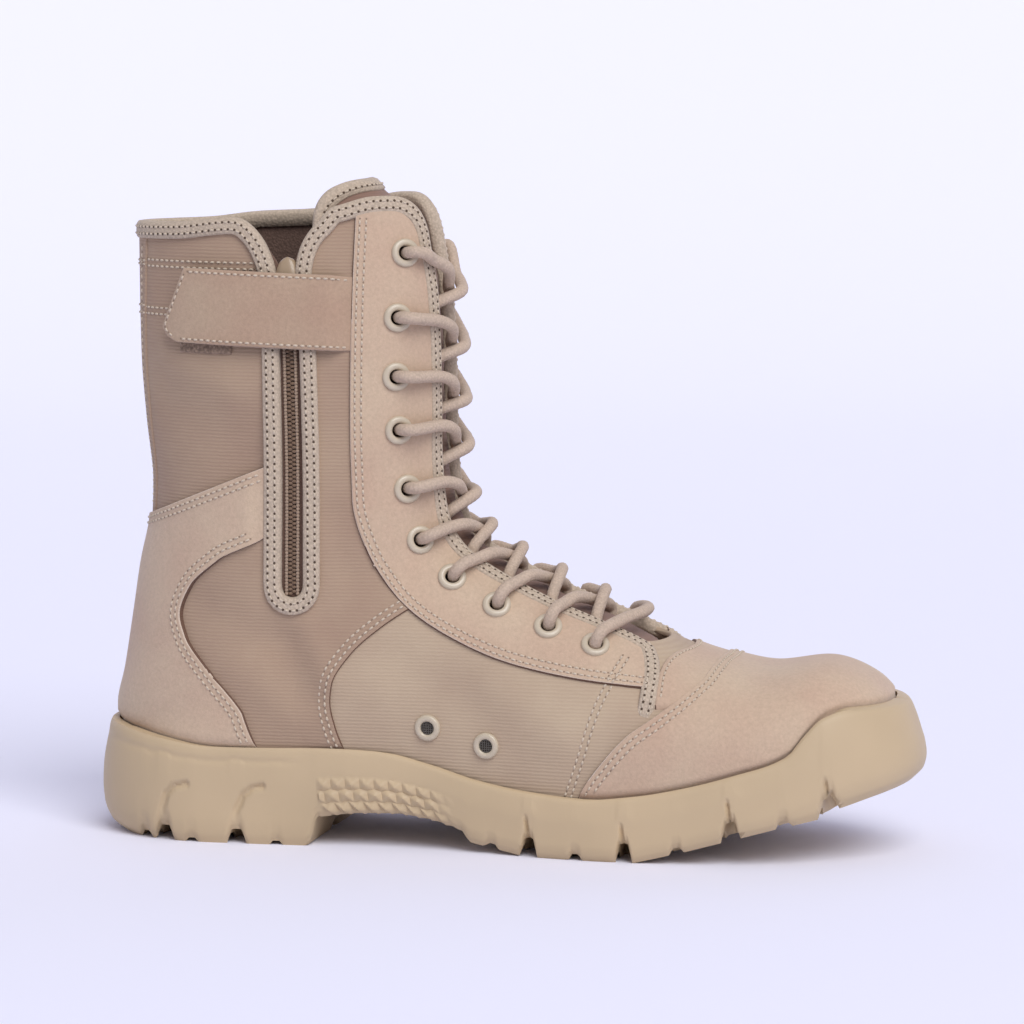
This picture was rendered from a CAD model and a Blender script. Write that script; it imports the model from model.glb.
"""The finish of a left tactical boot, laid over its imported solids.

Lengths in the tables are millimetres and the meshes are metres. +X points to the toe, -Y is the medial
side with the zip, and +Z is up. Stations run over the boot from the toe (0) past the heel's corner (13)
to the collar (24), and each section runs around from the sole or back seam (0) to the ridge (1).
"""

import math
from collections import namedtuple

import bmesh
import bpy
import numpy as np
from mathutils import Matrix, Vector
from mathutils.kdtree import KDTree


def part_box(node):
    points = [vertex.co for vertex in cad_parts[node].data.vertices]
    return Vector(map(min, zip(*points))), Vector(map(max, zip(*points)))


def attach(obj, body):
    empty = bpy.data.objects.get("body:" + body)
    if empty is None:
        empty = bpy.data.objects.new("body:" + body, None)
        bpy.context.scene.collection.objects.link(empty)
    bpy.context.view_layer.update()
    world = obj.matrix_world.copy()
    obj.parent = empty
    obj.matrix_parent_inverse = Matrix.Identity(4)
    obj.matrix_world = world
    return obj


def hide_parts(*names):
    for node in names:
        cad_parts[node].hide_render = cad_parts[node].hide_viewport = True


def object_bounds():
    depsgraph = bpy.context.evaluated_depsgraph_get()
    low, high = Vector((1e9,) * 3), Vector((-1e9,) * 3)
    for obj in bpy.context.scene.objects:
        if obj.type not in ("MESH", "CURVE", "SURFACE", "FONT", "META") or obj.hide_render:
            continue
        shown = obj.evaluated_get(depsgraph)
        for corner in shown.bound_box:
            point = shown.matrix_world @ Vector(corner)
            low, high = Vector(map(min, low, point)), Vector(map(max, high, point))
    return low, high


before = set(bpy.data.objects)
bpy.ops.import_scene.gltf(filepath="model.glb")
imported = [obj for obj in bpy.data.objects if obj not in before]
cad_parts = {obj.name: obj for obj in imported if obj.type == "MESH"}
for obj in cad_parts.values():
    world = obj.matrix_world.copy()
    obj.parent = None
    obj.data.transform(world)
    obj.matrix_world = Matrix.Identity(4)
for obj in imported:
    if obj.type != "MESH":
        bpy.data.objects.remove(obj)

bl_info = {
    "name": "Tactical boot finish",
    "version": (1, 0, 0),
    "blender": (4, 5, 0),
    "location": "3D View > Sidebar > Boot",
    "description": "Builds the surfaces, seams, zip and lace of a tactical boot over its solids",
    "category": "Add Mesh",
}

CAD_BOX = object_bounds()
MM = 0.001
MEDIAL = -1
LATERAL = 1
SIDE_NAMES = {MEDIAL: "medial", LATERAL: "lateral"}
SIDES = tuple(SIDE_NAMES)

# Sole
SOLE_LENGTH = (CAD_BOX[1].x - CAD_BOX[0].x) / MM
HEEL_END = CAD_BOX[0].x / MM
TOE_END = CAD_BOX[1].x / MM
HEEL_ROUND = 45.0
TOE_ROUND = 66.0
HEEL_POWER = 2.2
FOOT_HEEL_POWER = 2.7
BASE_POWER = 4.0
TOE_POWER = 2.25
WIDEST_HALF = 53.0
FOOT_END = 143.6
FOOT_NARROWING = 0.9
CUP_GAP = 1.1
CUP_FLOOR = 1.6
CUP_SHARES = (0.0, 0.55, 1.0)

# Upper and trim
WALL = 2.2
SUEDE_LIFT = 1.75
TAPE_LIFT = 1.6
CORNER_RADIUS = 11.0
THROAT_END = 6.0
THROAT_ROUND = 0.45
HEEL_CORNER = 13.0
TOP_STATION = 24.0
EYELET_BASE = 2.3
LACE_RADIUS = 2.15
EYELET_COUNT = 10


def rows_of(kind, *rows):
    """A table of named rows."""
    return tuple(kind(*row) for row in rows)


OutlineRow = namedtuple("OutlineRow", "x centre half")
OUTLINE = rows_of(
    OutlineRow,
    (-150.0, -1.5, 41.0), (-100.0, -1.5, 41.0), (-60.0, -0.3, 41.3), (-40.0, 1.3, 42.2),
    (-20.0, 2.1, 44.6), (0.0, 2.1, 47.8), (20.0, 1.5, 51.0), (42.0, 0.5, 53.0), (60.0, -0.5, 52.8),
    (85.0, -2.3, 51.2), (110.0, -4.3, 49.0), (150.0, -7.0, 46.0),
)

SideRow = namedtuple("SideRow", "x z")
RIM = rows_of(
    SideRow,
    (-150.0, 40.0), (-138.0, 39.2), (-120.0, 36.6), (-100.0, 34.4), (-80.0, 34.6), (-60.0, 35.0),
    (-41.0, 34.4), (-23.0, 30.7), (-6.0, 26.1), (11.0, 23.3), (36.0, 21.6), (54.0, 23.4), (71.5, 26.9),
    (88.5, 31.7), (107.0, 38.6), (113.0, 46.0), (119.0, 51.8), (127.0, 54.2), (141.5, 54.0),
    (150.0, 53.6),
)
FLOOR = rows_of(
    SideRow,
    (-150.0, 26.5), (-60.0, 26.0), (-35.0, 24.2), (0.0, 16.8), (30.0, 13.2), (55.0, 13.9), (95.0, 20.0),
    (131.0, 30.0), (150.0, 36.0),
)
BOTTOM = rows_of(
    SideRow,
    (-150.0, 0.0), (-66.0, 0.0), (-64.5, 1.2), (-62.5, 10.4), (-48.0, 11.9), (-32.0, 12.2),
    (-20.0, 10.5), (-9.0, 7.6), (-6.4, 3.8), (12.0, 0.4), (18.0, 0.0), (54.0, 0.0), (72.0, 4.6),
    (89.0, 9.4), (103.0, 13.2), (118.5, 16.8), (124.0, 20.0), (134.0, 23.2), (146.0, 26.6),
    (150.0, 27.6),
)

# Outside of the sole from tread to rim: share of the height, then how far in it lies
LevelRow = namedtuple("LevelRow", "share side heel toe")
LEVELS = rows_of(
    LevelRow,
    (0.00, 2.4, 8.0, 4.2), (0.10, 0.7, 3.0, 0.9), (0.26, 0.0, 0.5, 0.0), (0.42, 0.0, 0.0, 0.5),
    (0.58, 0.0, 0.3, 1.7), (0.88, 0.8, 2.3, 4.5), (0.97, 1.5, 3.0, 5.8), (1.00, 2.3, 3.6, 6.8),
)

# Notches along the tread's edges, deep ones with a slit above them and shallow ones between
NotchRow = namedtuple("NotchRow", "x width height depth slit")
NOTCHES = rows_of(
    NotchRow,
    (-126.4, 4.0, 2.2, 9.0, 0.0), (-118.5, 6.0, 5.2, 15.0, 0.0), (-108.0, 4.0, 1.4, 9.0, 0.0),
    (-91.4, 6.0, 5.2, 15.0, 0.0), (-77.0, 4.0, 1.4, 9.0, 0.0), (2.0, 4.0, 1.6, 9.0, 0.0),
    (16.0, 5.0, 6.6, 17.0, 9.0), (33.0, 4.0, 2.2, 9.0, 0.0), (50.5, 5.0, 6.6, 18.0, 8.0),
    (69.0, 4.0, 2.2, 9.0, 0.0), (88.0, 5.4, 6.4, 17.0, 9.0), (106.0, 4.0, 2.4, 9.0, 0.0),
    (121.0, 5.4, 6.0, 15.0, 8.0),
)

# Curved grooves on the heel's sides
HOOKS = (
    rows_of(SideRow, (-119.2, 6.0), (-118.8, 12.0), (-117.2, 17.0), (-114.0, 20.0), (-109.6, 21.0)),
    rows_of(SideRow, (-92.5, 6.0), (-91.3, 12.0), (-88.7, 17.2), (-85.7, 20.0), (-81.7, 21.0)),
)
HOOK_WIDTH = 1.9
HOOK_DEPTH = 1.3

# Waist studs: pyramids in three rows, placed by shares of the sole's height
STUD_FROM = -61.8
STUD_TO = -9.8
STUD_PITCH = 5.2
STUD_STEP = 0.19
STUD_ROWS = 3
STUD_TOOTH = 1.0
STUD_RISE = 1.5

# Sections of the foot and shaft, each a line from the sole or back seam to the ridge in front
SectionRow = namedtuple(
    "SectionRow", "back_x back_z front_x front_z half widest centre_back centre_front fullness"
)
SECTIONS = rows_of(
    SectionRow,
    (143.6, 34.0, 143.9, 44.0, 41.5, 0.40, -6.8, -6.8, 2.6),
    (139.5, 32.8, 139.0, 53.2, 41.5, 0.40, -6.5, -6.5, 2.6),
    (131.0, 30.0, 130.0, 61.7, 42.0, 0.38, -5.8, -6.0, 2.6),
    (115.0, 25.0, 114.5, 66.3, 43.2, 0.36, -4.6, -5.3, 2.6),
    (95.0, 20.0, 95.0, 63.8, 45.2, 0.34, -3.1, -4.5, 2.5),
    (75.0, 16.6, 77.0, 67.0, 47.0, 0.32, -1.6, -3.7, 2.35),
    (55.0, 13.9, 58.0, 73.6, 48.0, 0.30, -0.2, -3.1, 2.2),
    (30.0, 13.2, 38.0, 82.6, 47.4, 0.30, 1.1, -2.7, 2.15),
    (0.0, 16.8, 20.0, 90.5, 44.6, 0.32, 2.1, -2.5, 2.1),
    (-35.0, 24.2, 6.0, 97.6, 40.8, 0.36, 1.6, -2.5, 2.1),
    (-70.0, 26.0, -2.5, 102.8, 39.0, 0.38, -0.7, -2.7, 2.1),
    (-105.0, 26.2, -9.0, 107.8, 38.4, 0.40, -1.5, -2.9, 2.1),
    (-130.0, 26.6, -13.0, 112.8, 38.1, 0.42, -1.5, -3.1, 2.1),
    (-143.6, 33.5, -15.5, 117.8, 38.0, 0.44, -1.5, -3.3, 2.1),
    (-143.6, 44.0, -17.2, 122.6, 37.8, 0.46, -1.6, -3.5, 2.1),
    (-140.8, 57.0, -18.3, 128.0, 37.4, 0.47, -1.8, -3.7, 2.1),
    (-137.6, 76.0, -19.2, 134.5, 36.6, 0.48, -2.2, -3.9, 2.1),
    (-134.4, 96.0, -19.8, 142.5, 35.6, 0.49, -2.7, -4.2, 2.1),
    (-130.9, 113.0, -20.2, 150.0, 35.0, 0.50, -3.1, -4.5, 2.15),
    (-130.4, 127.0, -20.5, 158.0, 34.5, 0.50, -3.5, -4.7, 2.2),
    (-132.6, 149.0, -20.8, 171.0, 33.6, 0.50, -4.1, -5.0, 2.25),
    (-134.2, 172.0, -21.3, 185.0, 32.2, 0.50, -4.7, -5.3, 2.3),
    (-134.6, 196.0, -22.2, 201.0, 30.0, 0.50, -5.1, -5.5, 2.3),
    (-134.7, 219.0, -25.5, 219.0, 26.6, 0.50, -5.5, -5.5, 2.35),
    (-134.6, 238.0, -30.0, 238.0, 23.5, 0.50, -5.7, -5.7, 2.4),
)

# Half the gap between the facings, measured round the boot from the ridge
ThroatRow = namedtuple("ThroatRow", "station half")
THROAT = rows_of(
    ThroatRow,
    (5.0, 17.5), (7.0, 18.4), (9.0, 17.0), (13.0, 14.5), (18.0, 12.0), (24.0, 10.5),
)
COLLAR = rows_of(
    SideRow,
    (-134.0, 219.0), (-116.0, 219.4), (-98.0, 221.4), (-78.0, 222.4), (-58.0, 225.6), (-44.0, 229.2),
    (-33.0, 229.4), (-28.0, 228.2),
)
EYESTAY_EDGE = rows_of(
    SideRow,
    (55.8, 59.6), (35.2, 61.8), (9.2, 66.4), (-16.8, 76.3), (-34.2, 88.4), (-45.1, 104.6),
    (-50.2, 123.5), (-50.8, 153.5), (-50.6, 196.0), (-50.4, 223.0),
)
TOE_CAP_EDGE = rows_of(
    SideRow,
    (32.4, 22.6), (36.0, 29.8), (42.2, 38.0), (51.0, 47.0), (61.2, 53.4), (69.2, 58.4), (75.4, 63.0),
)
TOE_CAP_BACK = SideRow(78.0, 65.8)
FACING_FOOT = rows_of(SideRow, (59.0, 50.2), (60.2, 56.0), (60.2, 61.5), (58.9, 67.0), (55.4, 71.8))
FACING_SINK = 1.6

# The zip's slot, opening into a notch at the collar
SlotRow = namedtuple("SlotRow", "z rear front")
SLOT = rows_of(
    SlotRow,
    (92.0, -75.4, -66.6), (130.0, -75.4, -66.7), (165.0, -76.0, -67.6), (193.0, -77.0, -69.2),
    (203.0, -78.2, -70.2), (210.0, -80.8, -69.2), (216.0, -84.6, -66.6), (220.5, -89.6, -62.6),
    (224.0, -95.5, -57.0),
)

# The counter from sole to top: its front edge and the height it meets the back seam at
CounterRow = namedtuple("CounterRow", "front_x front_z back_z")
COUNTER = rows_of(
    CounterRow,
    (-80.4, 31.5, 36.5), (-89.0, 47.0, 49.5), (-101.0, 61.0, 59.0), (-110.4, 73.0, 68.0),
    (-112.8, 81.0, 76.0), (-108.8, 91.0, 84.5), (-97.6, 101.0, 93.0), (-83.0, 111.6, 100.5),
    (-82.6, 124.0, 107.5), (-82.6, 135.6, 114.0),
)

# Seams that show on the canvas alone
QUARTER_SEAM = rows_of(
    SideRow,
    (-51.0, 31.0), (-55.3, 42.8), (-57.0, 51.4), (-56.1, 57.9), (-49.5, 68.8), (-38.6, 78.6),
    (-28.1, 85.7),
)
FOREFOOT_SEAM = rows_of(SideRow, (29.6, 21.0), (34.3, 34.9), (40.3, 54.3), (47.5, 69.0))
BACK_SEAM_HEIGHTS = (206.0, 189.0)
BACK_STRIP_HALF = 13.4

StrapRow = namedtuple("StrapRow", "z rear")
STRAP = rows_of(
    StrapRow,
    (175.4, -112.6), (177.2, -116.4), (180.6, -118.7), (190.0, -115.0), (201.6, -110.4),
)
STRAP_FRONT = -49.6
STRAP_TILT = 2.2

# Half-width of the tongue round the boot, and how far its middle leans back
TongueRow = namedtuple("TongueRow", "station half lean")
TONGUE = rows_of(
    TongueRow,
    (5.1, 22.0, 0.0), (7.0, 28.0, 0.0), (10.0, 30.0, 0.0), (14.0, 31.0, 0.0), (18.0, 33.0, 0.0),
    (21.0, 42.0, 0.0), (22.4, 53.5, 1.5), (23.2, 57.5, 7.0), (23.85, 59.5, 17.0),
)
TONGUE_DROOP = 1.56
TONGUE_DROOP_POWER = 3.0
TONGUE_DROOP_FROM = 20.0

# Soft troughs and ridges pressed into the canvas: a line from one point to another, its width and depth
CreaseRow = namedtuple("CreaseRow", "side x0 z0 x1 z1 width depth")
CREASES = rows_of(
    CreaseRow,
    (MEDIAL, -128.0, 196.0, -92.0, 193.0, 9.0, 1.19),
    (MEDIAL, -124.0, 158.0, -88.0, 140.0, 13.0, 1.53),
    (MEDIAL, -120.0, 172.0, -96.0, 163.0, 8.0, -1.02),
    (MEDIAL, -104.0, 84.0, -78.0, 72.0, 8.0, 1.19),
    (MEDIAL, -66.0, 78.0, -58.0, 60.0, 5.0, -1.02),
    (MEDIAL, -74.0, 72.0, -66.0, 52.0, 7.0, 1.19),
    (MEDIAL, -92.0, 62.0, -70.0, 46.0, 7.0, -0.85),
    (MEDIAL, -56.0, 118.0, -52.0, 98.0, 4.0, 0.85),
    (MEDIAL, -34.0, 66.0, -4.0, 52.0, 10.0, 1.19),
    (MEDIAL, 4.0, 56.0, 26.0, 44.0, 9.0, -0.85),
    (LATERAL, -124.0, 160.0, -70.0, 143.0, 13.0, 1.53),
    (LATERAL, -104.0, 128.0, -62.0, 112.0, 9.0, -1.19),
    (LATERAL, -100.0, 96.0, -58.0, 90.0, 9.0, 1.53),
    (LATERAL, -84.0, 70.0, -60.0, 50.0, 8.0, 1.02),
    (LATERAL, -30.0, 62.0, 14.0, 48.0, 10.0, 1.19),
)


def slopes_of(keys, values):
    """Slopes that keep a cubic through the points from overshooting them."""
    steps = np.diff(keys)
    rises = np.diff(values) / steps
    slopes = np.empty(len(keys))
    slopes[0] = rises[0]
    slopes[-1] = rises[-1]
    for i in range(1, len(keys) - 1):
        if rises[i - 1] * rises[i] <= 0.0:
            slopes[i] = 0.0
        else:
            before = 2.0 * steps[i] + steps[i - 1]
            after = steps[i] + 2.0 * steps[i - 1]
            slopes[i] = (before + after) / (before / rises[i - 1] + after / rises[i])
    return slopes


def curve_of(keys, values):
    """A smooth function through the points, in rising order of the keys."""
    keys = np.asarray(keys, float)
    values = np.asarray(values, float)
    slopes = slopes_of(keys, values)

    def at(key):
        key = np.clip(key, keys[0], keys[-1])
        i = np.clip(np.searchsorted(keys, key, side="right") - 1, 0, len(keys) - 2)
        step = keys[i + 1] - keys[i]
        t = (key - keys[i]) / step
        near = (1.0 + 2.0 * t) * (1.0 - t) ** 2 * values[i] + t * (1.0 - t) ** 2 * step * slopes[i]
        far = t * t * (3.0 - 2.0 * t) * values[i + 1] + t * t * (t - 1.0) * step * slopes[i + 1]
        return near + far

    return at


def column(rows, key, value):
    return curve_of([getattr(row, key) for row in rows], [getattr(row, value) for row in rows])


def travelled(path):
    """Distance along the path at each of its points."""
    return np.concatenate(([0.0], np.cumsum(np.linalg.norm(np.diff(path, axis=0), axis=1))))


def picked(t, along, values):
    """Points or directions at the distances t, between those known at the distances along."""
    return np.stack([np.interp(t, along, values[:, k]) for k in range(3)], axis=1)


def polyline(rows, count):
    """Points at even spacing on a smooth line through rows of x and z."""
    spots = np.array(rows)
    along = travelled(spots)
    t = np.linspace(0.0, along[-1], count)
    return curve_of(along, spots[:, 0])(t), curve_of(along, spots[:, 1])(t)


def clamp(values):
    return np.clip(values, 0.0, 1.0)


def smooth_step(t):
    t = clamp(t)
    return t * t * (3.0 - 2.0 * t)


def eased(values, start, over):
    """A smooth step from 0 at the start to 1 a distance over from it."""
    return smooth_step((values - start) / over)


def unit(vectors):
    return vectors / np.maximum(np.linalg.norm(vectors, axis=-1, keepdims=True), 1e-9)


outline_centre = column(OUTLINE, "x", "centre")
outline_half = column(OUTLINE, "x", "half")
rim_height = column(RIM, "x", "z")
floor_height = column(FLOOR, "x", "z")
section_column = {
    name: curve_of(range(len(SECTIONS)), values)
    for name, values in zip(SectionRow._fields, zip(*SECTIONS))
}
throat_table = column(THROAT, "station", "half")
slot_rear = column(SLOT, "z", "rear")
slot_front = column(SLOT, "z", "front")


def bottom_height(x):
    return np.interp(x, *np.transpose(BOTTOM))


def toe_rounding(x):
    into = np.maximum(0.0, (x - TOE_END + TOE_ROUND) / TOE_ROUND)
    return np.maximum(0.0, 1.0 - into ** TOE_POWER) ** (1.0 / TOE_POWER)


def heel_rounding(x, power):
    into = np.maximum(0.0, (HEEL_END + HEEL_ROUND - x) / HEEL_ROUND)
    return np.maximum(0.0, 1.0 - into ** power) ** (1.0 / power)


def sole_half(x):
    return outline_half(x) * toe_rounding(x) * heel_rounding(x, HEEL_POWER)


def foot_half(x):
    """Half-width of the foot where it meets the cup's floor, x being the sole's."""
    return FOOT_NARROWING * outline_half(x) * toe_rounding(x) * heel_rounding(x, FOOT_HEEL_POWER)


class Last:
    """The outside of the upper as a table of points by station and share around, for each side."""

    ALONG = 1200
    AROUND = 160
    SAMPLES = 40
    HALVINGS = 40

    def __init__(self):
        self.stations = np.linspace(0.0, TOP_STATION, self.ALONG + 1)
        self.shares = np.linspace(0.0, 1.0, self.AROUND + 1)
        self.points = {}
        self.rises = {}
        self.lengths = {}
        for side in SIDES:
            made = [self.section(station, side) for station in self.stations]
            self.points[side] = np.array([row[0] for row in made])
            self.rises[side] = np.array([row[1] for row in made])
            self.lengths[side] = np.array([row[2] for row in made])

    def section(self, station, side):
        row = {name: float(at(station)) for name, at in section_column.items()}
        outline_x = row["back_x"] * TOE_END / FOOT_END
        on_foot = station < HEEL_CORNER
        half = row["half"] * (toe_rounding(outline_x) if on_foot else 1.0)
        base = min(foot_half(outline_x), half) if on_foot else 0.0
        low = np.linspace(0.0, 0.5 * math.pi, self.SAMPLES)
        high = low[1:]
        power = 2.0 / row["fullness"]
        rise = np.concatenate((
            row["widest"] * (1.0 - np.cos(low)),
            row["widest"] + (1.0 - row["widest"]) * np.sin(high) ** power,
        ))
        start = (base / half) ** BASE_POWER if half > 0.0 else 0.0
        out = half * np.concatenate((
            (start + (1.0 - start) * np.sin(low) ** BASE_POWER) ** (1.0 / BASE_POWER),
            clamp(np.cos(high)) ** power,
        ))
        out[-1] = 0.0
        points = np.empty((len(rise), 3))
        points[:, 0] = row["back_x"] + (row["front_x"] - row["back_x"]) * rise
        points[:, 2] = row["back_z"] + (row["front_z"] - row["back_z"]) * rise
        middle = row["centre_back"] + (row["centre_front"] - row["centre_back"]) * rise
        points[:, 1] = middle + side * out
        lengths = travelled(points)
        shares = lengths / lengths[-1]
        return picked(self.shares, shares, points), np.interp(self.shares, shares, rise), lengths[-1]

    def length(self, station, side):
        return np.interp(station, self.stations, self.lengths[side])

    def at(self, station, around, side):
        station, around = np.broadcast_arrays(np.asarray(station, float), np.asarray(around, float))
        s = clamp(station / TOP_STATION) * self.ALONG
        a = clamp(around) * self.AROUND
        i = np.minimum(s.astype(int), self.ALONG - 1)
        j = np.minimum(a.astype(int), self.AROUND - 1)
        u = (s - i)[..., None]
        v = (a - j)[..., None]
        grid = self.points[side]
        low = grid[i, j] * (1.0 - v) + grid[i, j + 1] * v
        high = grid[i + 1, j] * (1.0 - v) + grid[i + 1, j + 1] * v
        return low * (1.0 - u) + high * u

    def normal(self, station, around, side):
        station, around = np.broadcast_arrays(np.asarray(station, float), np.asarray(around, float))
        step = 0.05
        share = 0.015
        low = np.clip(station - step, 0.0, TOP_STATION - 2.0 * step)
        along = self.at(low + 2.0 * step, around, side) - self.at(low, around, side)
        along = np.where((station < step)[..., None], np.array([-0.2, side, 0.0]), along)
        start = np.clip(around - share, 0.0, 1.0 - 2.0 * share)
        across = self.at(station, start + 2.0 * share, side) - self.at(station, start, side)
        normal = np.cross(along, across) * side
        seam = (around < 0.004) | (around > 0.996)
        normal[..., 1] = np.where(seam, 0.0, normal[..., 1])
        return unit(normal)

    def seat(self, station, around, side):
        """Places on the last, with the directions out of it."""
        return self.at(station, around, side), self.normal(station, around, side)

    def seen(self, x, z, side):
        """The same for places seen from the side at x and z."""
        return self.seat(*self.locate(x, z, side), side)

    def locate(self, x, z, side):
        """Station and share around of points seen from the side at x and z."""
        x, z = np.broadcast_arrays(np.asarray(x, float), np.asarray(z, float))
        low = np.zeros(x.shape)
        high = np.full(x.shape, TOP_STATION)
        for _ in range(self.HALVINGS):
            middle = 0.5 * (low + high)
            bx, bz, fx, fz = (section_column[n](middle) for n in SectionRow._fields[:4])
            ahead = (fx - bx) * (z - bz) - (fz - bz) * (x - bx) > 0.0
            low = np.where(ahead, middle, low)
            high = np.where(ahead, high, middle)
        station = 0.5 * (low + high)
        bx, bz, fx, fz = (section_column[n](station) for n in SectionRow._fields[:4])
        rise = ((x - bx) * (fx - bx) + (z - bz) * (fz - bz)) / ((fx - bx) ** 2 + (fz - bz) ** 2)
        flat = station.ravel()
        rows = np.clip(np.rint(flat / TOP_STATION * self.ALONG).astype(int), 0, self.ALONG)
        around = [np.interp(r, self.rises[side][k], self.shares) for r, k in zip(rise.ravel(), rows)]
        return station, np.array(around).reshape(station.shape)

    def seam_station(self, z):
        """Station whose line starts on the back seam at height z."""
        behind = self.stations >= HEEL_CORNER
        return np.interp(z, section_column["back_z"](self.stations[behind]), self.stations[behind])

    def rim_edge(self, station, side, above):
        """Share around where the section rises out of the sole's rim, plus a height above it."""
        points = self.points[side]
        over = points[:, :, 2] - rim_height(points[:, :, 0]) - above
        first = np.argmax(over > 0.0, axis=1)
        rows = np.arange(len(over))
        before = np.maximum(first - 1, 0)
        drop = over[rows, before] - over[rows, first]
        t = np.where(np.abs(drop) > 1e-9, over[rows, before] / np.where(drop == 0.0, 1.0, drop), 0.0)
        edge = (before + clamp(t)) / self.AROUND
        edge = np.where(over[:, -1] <= 0.0, 1.0, np.where(first == 0, 0.0, edge))
        return np.interp(station, self.stations, edge)


LAST = Last()


def throat_half(station):
    into = clamp((station - THROAT_END) / THROAT_ROUND)
    return throat_table(station) * np.sqrt(np.maximum(0.0, 1.0 - (1.0 - into) ** 2))


def throat_edge(station, side, inset=0.0):
    """Share around of the facing's edge, or of a line inset from it."""
    return 1.0 - (throat_half(station) + inset) / LAST.length(station, side)


def collar_curve(side):
    stations, arounds = LAST.locate(*np.transpose(COLLAR), side)
    first = LAST.seam_station(COLLAR[0].z)
    return curve_of(np.concatenate(([0.0], arounds)), np.concatenate(([first], stations)))


COLLAR_CURVES = {side: collar_curve(side) for side in SIDES}


def collar_station(around, side, inset=0.0):
    """Station of the collar's edge, with its rounded front corner, or of a line inset from it."""
    station = COLLAR_CURVES[side](around)
    span = 0.05
    apart = LAST.at(station + span, around, side) - LAST.at(station - span, around, side)
    per_station = np.linalg.norm(apart, axis=-1) / (2.0 * span)
    edge = (throat_edge(station, side) - around) * LAST.length(station, side)
    reach = (CORNER_RADIUS - inset) ** 2 - (CORNER_RADIUS - edge) ** 2
    rounded = CORNER_RADIUS - np.sqrt(np.maximum(reach, 0.0))
    return station - np.where(edge < CORNER_RADIUS, rounded, inset) / per_station


def eyelet_nodes(side):
    return [f"eyelet_{SIDE_NAMES[side]}_{k + 1:02d}" for k in range(EYELET_COUNT)]


def eyelet_centres(side):
    boxes = [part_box(node) for node in eyelet_nodes(side)]
    return np.array([(low + high) / 2.0 for low, high in boxes]) / MM


def eyelet_seats(side):
    """Places of the eyelets on the last, with the directions out of it."""
    centres = eyelet_centres(side)
    return LAST.seen(centres[:, 0], centres[:, 2], side)


def linear(code):
    """Linear red, green and blue of an sRGB hex colour."""
    parts = [int(code[i:i + 2], 16) / 255.0 for i in (1, 3, 5)]
    return tuple(p / 12.92 if p <= 0.04045 else ((p + 0.055) / 1.055) ** 2.4 for p in parts)


def colour_property(name, code, text):
    return bpy.props.FloatVectorProperty(
        name=name, description=text, subtype="COLOR", size=3, min=0.0, max=1.0, default=linear(code)
    )


def length_property(name, millimetres, text):
    return bpy.props.FloatProperty(
        name=name, description=text, default=millimetres * MM, min=0.0, unit="LENGTH", precision=4
    )


class BootColours(bpy.types.PropertyGroup):
    """Colours of the boot's materials."""

    suede: colour_property("Suede", "#C8B299", "Napped suede of the overlays")
    suede_pink: colour_property("Suede, rubbed", "#BFA28C", "Patches where the nap lies the other way")
    strap: colour_property("Strap", "#B69E86", "Napped suede of the strap")
    strap_pink: colour_property("Strap, rubbed", "#AD8F7A", "Where the strap's nap lies the other way")
    canvas: colour_property("Canvas", "#B29B83", "Raised ribs of the canvas")
    canvas_deep: colour_property("Canvas, deep", "#937566", "Between the canvas ribs and in its folds")
    vamp: colour_property("Vamp", "#C3B096", "Raised ribs of the vamp's canvas")
    vamp_deep: colour_property("Vamp, deep", "#A08674", "Between the ribs of the vamp's canvas")
    rubber: colour_property("Rubber", "#C0AA8A", "Moulded rubber of the sole")
    webbing: colour_property("Webbing", "#C5B39F", "Binding tape round the edges")
    thread: colour_property("Thread", "#CFBFAB", "Sewing thread")
    cord: colour_property("Cord", "#C4AF9C", "Braided lace")
    coil: colour_property("Coil", "#7B6350", "Zip coil")
    enamel: colour_property("Enamel", "#C2B49E", "Painted metal of the eyelets")
    lining: colour_property("Lining", "#7A6257", "Cloth inside the boot")
    backdrop: colour_property("Backdrop", "#EDEDFB", "Seamless floor and wall")


class BootSizes(bpy.types.PropertyGroup):
    """Sizes of the boot's surface detail."""

    stitch_pitch: length_property("Stitch pitch", 2.5, "From one stitch to the next")
    stitch_length: length_property("Stitch length", 1.9, "Length of thread that shows")
    stitch_radius: length_property("Stitch radius", 0.4, "Half the thread's thickness")
    row_gap: length_property("Row gap", 2.2, "Between the two rows of a seam")
    tooth_pitch: length_property("Tooth pitch", 1.5, "Spacing of the zip's coils")
    camera_distance: length_property("Camera distance", 1800.0, "From the boot's middle to the lens")


def add_node(tree, kind, inputs=(), **settings):
    """Adds a node with its settings; inputs maps a socket to a value or to the socket that feeds it."""
    made = tree.nodes.new(kind)
    for key, value in settings.items():
        setattr(made, key, value)
    for key, value in dict(inputs).items():
        if isinstance(value, bpy.types.NodeSocket):
            tree.links.new(value, made.inputs[key])
        else:
            made.inputs[key].default_value = value
    return made


def per_mm(size):
    """Noise scale for features of about this size in millimetres."""
    return 1.0 / (size * MM)


def bands_per_mm(pitch):
    """Wave scale for bands of this pitch in millimetres."""
    return math.pi / (10.0 * pitch * MM)


def blank_material(name, **sockets):
    """A material whose shader has these values, with its tree and the place on the object."""
    made = bpy.data.materials.new(name)
    made.use_nodes = True
    tree = made.node_tree
    shader = tree.nodes["Principled BSDF"]
    for key, value in sockets.items():
        shader.inputs[key.replace("_", " ")].default_value = value
    place = add_node(tree, "ShaderNodeTexCoord").outputs["Object"]
    return made, tree, shader, place


def solid(colour):
    return (*colour, 1.0)


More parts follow.
